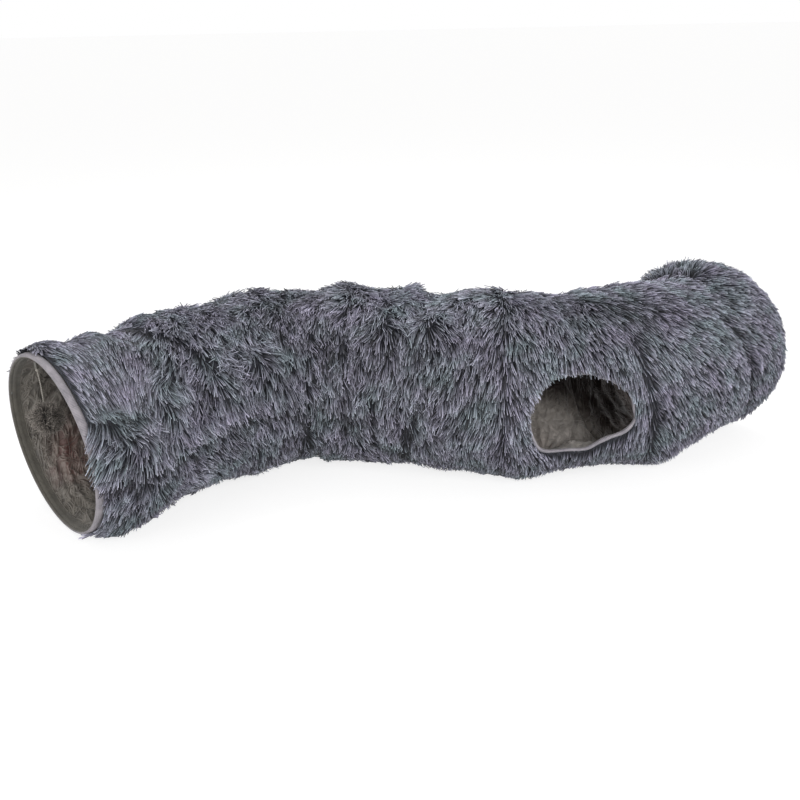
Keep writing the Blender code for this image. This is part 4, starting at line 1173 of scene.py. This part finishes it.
# Where the left binding's two ends lap, high on the near side
lap = []
for step in np.linspace(92, 103.5, 24):
    wide = 0.0012 * smooth_step(np.array(step), 93, 102)
    lap.append(round_mouth(0, 1, step, [
        (OUTER_LIMB + wide, NOSE + 0.0004), (0.0, NOSE + 0.0003), (-0.0022, NOSE * 0.72), (-0.0025, NOSE * 0.72 + 0.0006),
        (-0.0002, NOSE + 0.0011), (OUTER_LIMB + wide, NOSE + 0.0012),
    ][::-1]))
lap = ring_tape("left_mouth_binding_lap", lap, TAPE, closed=False)
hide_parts("mouth_binding_left")
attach(lap, BODIES[0])


# Peephole hem

def wall_point(x, y, radius):
    """The point on a cylinder of that radius round the bay's axis that lies straight out from the hole's outline at x, y."""
    centre, forward, left = peephole_axes()
    curve = curvature(PEEPHOLE_BAY)
    high = y + PEEPHOLE_RISE
    side = max(radius ** 2 - high ** 2, 1e-8) ** 0.5
    depth = max((1 / curve + side) ** 2 - x ** 2, 1e-8) ** 0.5 - 1 / curve
    return centre - left * depth + forward * x + Vector((0, 0, high))


def peephole_hem():
    """The lining turned out over the hole's edge and stitched down: a soft roll, a little slack along the bottom."""
    outline = peephole_outline(0.0, steps=7)
    count = len(outline)
    sections, row = [], []
    for number, (x, y) in enumerate(outline):
        before, after = outline[number - 1], outline[(number + 1) % count]
        tangent = Vector((after[0] - before[0], after[1] - before[1])).normalized()
        out = Vector((tangent.y, -tangent.x))
        wave = noise.noise(Vector((x * 55, y * 55, 3.0)))
        crimp = noise.noise(Vector((x * 260, y * 260, 8.0)))
        curve, high = curvature(PEEPHOLE_BAY), np.arcsin((y + PEEPHOLE_RISE) / BACKING_RADIUS)
        ahead = np.arcsin(x / (1 / curve + BACKING_RADIUS * np.cos(high))) / curve
        skin = float(skin_radius(PEEPHOLE_BAY, np.array([BAY_LENGTHS[PEEPHOLE_BAY] / 2 + ahead]), np.array([pi - high]))[0])
        low = float(smooth_step(np.array(-y), 0.0, 0.05))
        top = skin + BACKING_THICKNESS + 0.0012 + 0.0010 * wave * (0.4 + low) + 0.0005 * crimp
        bottom = skin - 0.0034 - 0.0012 * wave * low
        roll = 0.0010 + 0.0010 * wave + 0.0005 * crimp + 0.0006 * low
        profile = [
            (0.0036, top - 0.0010), (0.0020, top - 0.0002), (0.0004, top + 0.0003), (-roll * 0.6, top - 0.0004),
            (-roll, top - 0.0016), (-roll * 0.8, (top + bottom) / 2), (-roll, bottom + 0.0012), (-roll * 0.4, bottom - 0.0002),
            (0.0020, bottom - 0.0006), (0.0050, bottom - 0.0006), (0.0050, bottom), (0.0022, bottom + 0.0002),
            (0.0006, bottom + 0.0012), (0.0004, (top + bottom) / 2), (0.0005, top - 0.0020), (0.0014, top - 0.0010),
            (0.0036, top - 0.0016),
        ]
        sections.append([wall_point(x + out.x * off, y + out.y * off, radius) for off, radius in profile])
        spot = wall_point(x + out.x * 0.0018, y + out.y * 0.0018, top)
        beyond = wall_point(x + out.x * 0.0018, y + out.y * 0.0018, top + 0.001)
        row.append((spot, (beyond - spot).normalized()))
    hem = ring_tape("peephole_turned_hem", sections, HEM_TAPE)
    blend_bay(hem)
    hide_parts("peephole_hem")
    points, outward = zip(*row)
    sew("peephole_stitches", points, outward, lambda made: blend_bay(made))
    return hem


peephole_hem()


# Hanging toy

def hanging_cord():
    """Covered elastic that hangs straight under the pompon's weight, with a slight set from being packed."""
    top = TOY_PIVOT - Vector((0, 0, KNOT_RADIUS + CLEARANCE))
    curve = bpy.data.curves.new("toy_elastic", "CURVE")
    curve.dimensions, curve.bevel_depth, curve.bevel_resolution, curve.use_fill_caps = "3D", CORD_DIAMETER / 2, 3, True
    spline = curve.splines.new("POLY")
    spline.points.add(19)
    for number, knot in enumerate(spline.points):
        share = number / 19
        knot.co = (*(top - Vector((0, 0, CORD_LENGTH * share)) + Vector((0.0004, 0.0003, 0)) * sin(pi * share)), 1.0)
    curve.materials.append(ELASTIC)
    made = bpy.data.objects.new("toy_elastic", curve)
    bpy.context.scene.collection.objects.link(made)
    return made, top


def pompon(place):
    """A ball of fluffed yarn round a tied core."""
    core_radius = 0.0115
    mesh = bpy.data.meshes.new("pompon_core")
    rows, sides, points, faces = 14, 24, [], []
    for row in range(rows + 1):
        high = pi * (row + 0.5) / (rows + 1)
        for side in range(sides):
            turn = tau * side / sides
            out = Vector((sin(high) * cos(turn), sin(high) * sin(turn), cos(high)))
            points.append(place + out * core_radius * (1 + 0.12 * noise.noise(out * 3)))
    for row in range(rows):
        for side in range(sides):
            beside = (side + 1) % sides
            faces.append((row * sides + side, (row + 1) * sides + side, (row + 1) * sides + beside, row * sides + beside))
    faces.append(tuple(range(sides)))
    faces.append(tuple(reversed(range(rows * sides, (rows + 1) * sides))))
    core = new_piece("toy_pompon_core", points, faces, YARN)
    count = len(core.data.vertices)
    height = (np.array(points)[:, 2] - place.z) / core_radius
    # pile_shade paints shade on the ball: darker towards its top and towards +x, the view's right, where the mouth's
    # roof shades it
    set_facts(core.data, {
        "pile_comb": np.array([noise.noise_vector(Vector(p) * 60) for p in points]), "pile_length": np.full(count, 0.0042),
        "pile_rise": np.full(count, 0.0094), "pile_density": np.ones(count), "pile_loose": np.ones(count),
        "pile_shade": 0.60 - 0.32 * height - 0.30 * (np.array(points)[:, 0] - place.x) / core_radius,
    })
    fluff = grown(core, PILE, "toy_pompon_fluff", {
        "Strands per Square Metre": 1500000.0, "Strand Width": 0.0007, "Lock Spacing": 0.003, "Lock Pull": 0.4,
        "Lock Turn": 0.6, "Strand Turn": 0.8, "Lock Curl": 0.0015, "Frizz": 0.0028, "Tunnel Radius": 100.0, "Seed": 5, "Yarn": YARN,
    })
    drop_facts(core)
    return core, fluff


elastic, cord_top = hanging_cord()
core, fluff = pompon(cord_top - Vector((0, 0, CORD_LENGTH + CLEARANCE + BALL_RADIUS)))
for piece, node, finish in ((elastic, "toy_cord", "elastic"), (core, "toy_ball", "pompon"), (fluff, "toy_ball", "pompon")):
    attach(piece, "pendulum")
    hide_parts(node)


# Carried-over parts

def dress(node, material, slot):
    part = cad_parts[node]
    part.data.materials.clear()
    part.data.materials.append(material)


CASING_CLOTH, _tree, _shader = new_material("cotton_casing_tape", 0.85)
_weave = add(_tree, "ShaderNodeTexNoise", {"Vector": add(_tree, "ShaderNodeTexCoord").outputs["Object"], "Scale": 900.0}).outputs["Fac"]
_tree.links.new(ramp(_tree, _weave, [(0.3, "#77757a"), (0.7, "#9a989d")]), _shader.inputs["Base Color"])
for hoop in range(1, BAYS + 2):
    dress(f"hoop_{hoop}", WIRE, "spring_steel")
    dress(f"ferrule_{hoop}", SLEEVE, "crimped_steel")
    if 1 < hoop <= BAYS:
        dress(f"hoop_casing_{hoop}", CASING_CLOTH, "tape")
dress("toy_tab", SHADED_OLIVE_TAPE, "tape")
dress("toy_knot", ELASTIC, "elastic")


# Floor, light and camera

def stage():
    """A pale floor that keeps the shadow, and a surround that is white where it is seen and gives soft light."""
    floor = new_piece("floor", [(-30, -30, -0.0004), (30, -30, -0.0004), (30, 30, -0.0004), (-30, 30, -0.0004)], [(0, 1, 2, 3)], TAPE)
    made, tree, shader = new_material("white_floor", 0.9)
    shader.inputs["Base Color"].default_value = (0.8, 0.8, 0.8, 1.0)
    glow = add(tree, "ShaderNodeEmission", {"Color": (1, 1, 1, 1), "Strength": FLOOR_GLOW}).outputs[0]
    black = add(tree, "ShaderNodeEmission", {"Strength": 0.0}).outputs[0]
    shadow = add(tree, "ShaderNodeMixShader", {0: FLOOR_SHADOW, 1: black, 2: shader.outputs[0]}).outputs[0]
    bright = add(tree, "ShaderNodeAddShader", {0: shadow, 1: glow}).outputs[0]
    shown = add(tree, "ShaderNodeMixShader", {0: seen_directly(tree), 1: shader.outputs[0], 2: bright}).outputs[0]
    tree.links.new(shown, tree.nodes["Material Output"].inputs["Surface"])
    floor.data.materials.clear()
    floor.data.materials.append(made)

    world = bpy.data.worlds.new("studio")
    bpy.context.scene.world = world
    world.use_nodes = True
    tree = world.node_tree
    fill = tree.nodes["Background"]
    fill.inputs["Color"].default_value, fill.inputs["Strength"].default_value = (1.0, 0.99, 0.98, 1.0), FILL_LIGHT
    white = add(tree, "ShaderNodeBackground", {"Color": (1, 1, 1, 1), "Strength": 1.0}).outputs[0]
    mixed = add(tree, "ShaderNodeMixShader", {0: seen_directly(tree), 1: fill.outputs[0], 2: white}).outputs[0]
    tree.links.new(mixed, tree.nodes["World Output"].inputs["Surface"])


def seen_directly(tree):
    """1 for what the camera sees straight, in a mirror or through glass."""
    rays = add(tree, "ShaderNodeLightPath").outputs
    either = add(tree, "ShaderNodeMath", {0: rays["Is Camera Ray"], 1: rays["Is Glossy Ray"]}, operation="MAXIMUM").outputs[0]
    return add(tree, "ShaderNodeMath", {0: either, 1: rays["Is Transmission Ray"]}, operation="MAXIMUM").outputs[0]


FLOOR_GLOW, FLOOR_SHADOW, FILL_LIGHT = 0.78, 0.40, 0.56


def soft_lamp(name, place, target, size, power):
    lamp = bpy.data.lights.new(name, "AREA")
    lamp.shape, lamp.size, lamp.energy = "DISK", size, power
    made = bpy.data.objects.new(name, lamp)
    made.location = place
    made.rotation_euler = (Vector(target) - Vector(place)).to_track_quat("-Z", "Y").to_euler()
    bpy.context.scene.collection.objects.link(made)


def place_camera():
    """The photograph's view: 24 degrees down, turned half a degree to the right and rolled 1.2 degrees."""
    turn, pitch, roll, focal = radians(0.464), radians(24.015), radians(1.2), 880.2
    level = Vector((sin(turn), cos(turn), 0))
    right = Vector((cos(turn), -sin(turn), 0))
    ahead = level * cos(pitch) - Vector((0, 0, 1)) * sin(pitch)
    up = right.cross(ahead)
    side, top = right * cos(roll) - up * sin(roll), up * cos(roll) + right * sin(roll)
    data = bpy.data.cameras.new("camera")
    data.sensor_width, data.lens = 36.0, 36.0 * focal / 800
    camera = bpy.data.objects.new("camera", data)
    bpy.context.scene.collection.objects.link(camera)
    camera.matrix_world = Matrix.Translation((-0.089, -1.2631, 0.6601)) @ Matrix((side, top, -ahead)).transposed().to_4x4()
    bpy.context.scene.camera = camera


stage()
soft_lamp("front", (0.36, -2.15, 1.32), (0.05, 0, 0.1), 0.45, 16)
soft_lamp("key", (1.30, -1.95, 1.75), (0.05, 0, 0.1), 0.8, 18)
soft_lamp("side", (-1.7, -1.6, 1.2), (-0.3, 0, 0.1), 1.2, 11)
soft_lamp("sky", (-0.1, 0.9, 2.2), (0, 0, 0.1), 1.6, 15)
place_camera()
bpy.context.scene.view_settings.view_transform = "Standard"
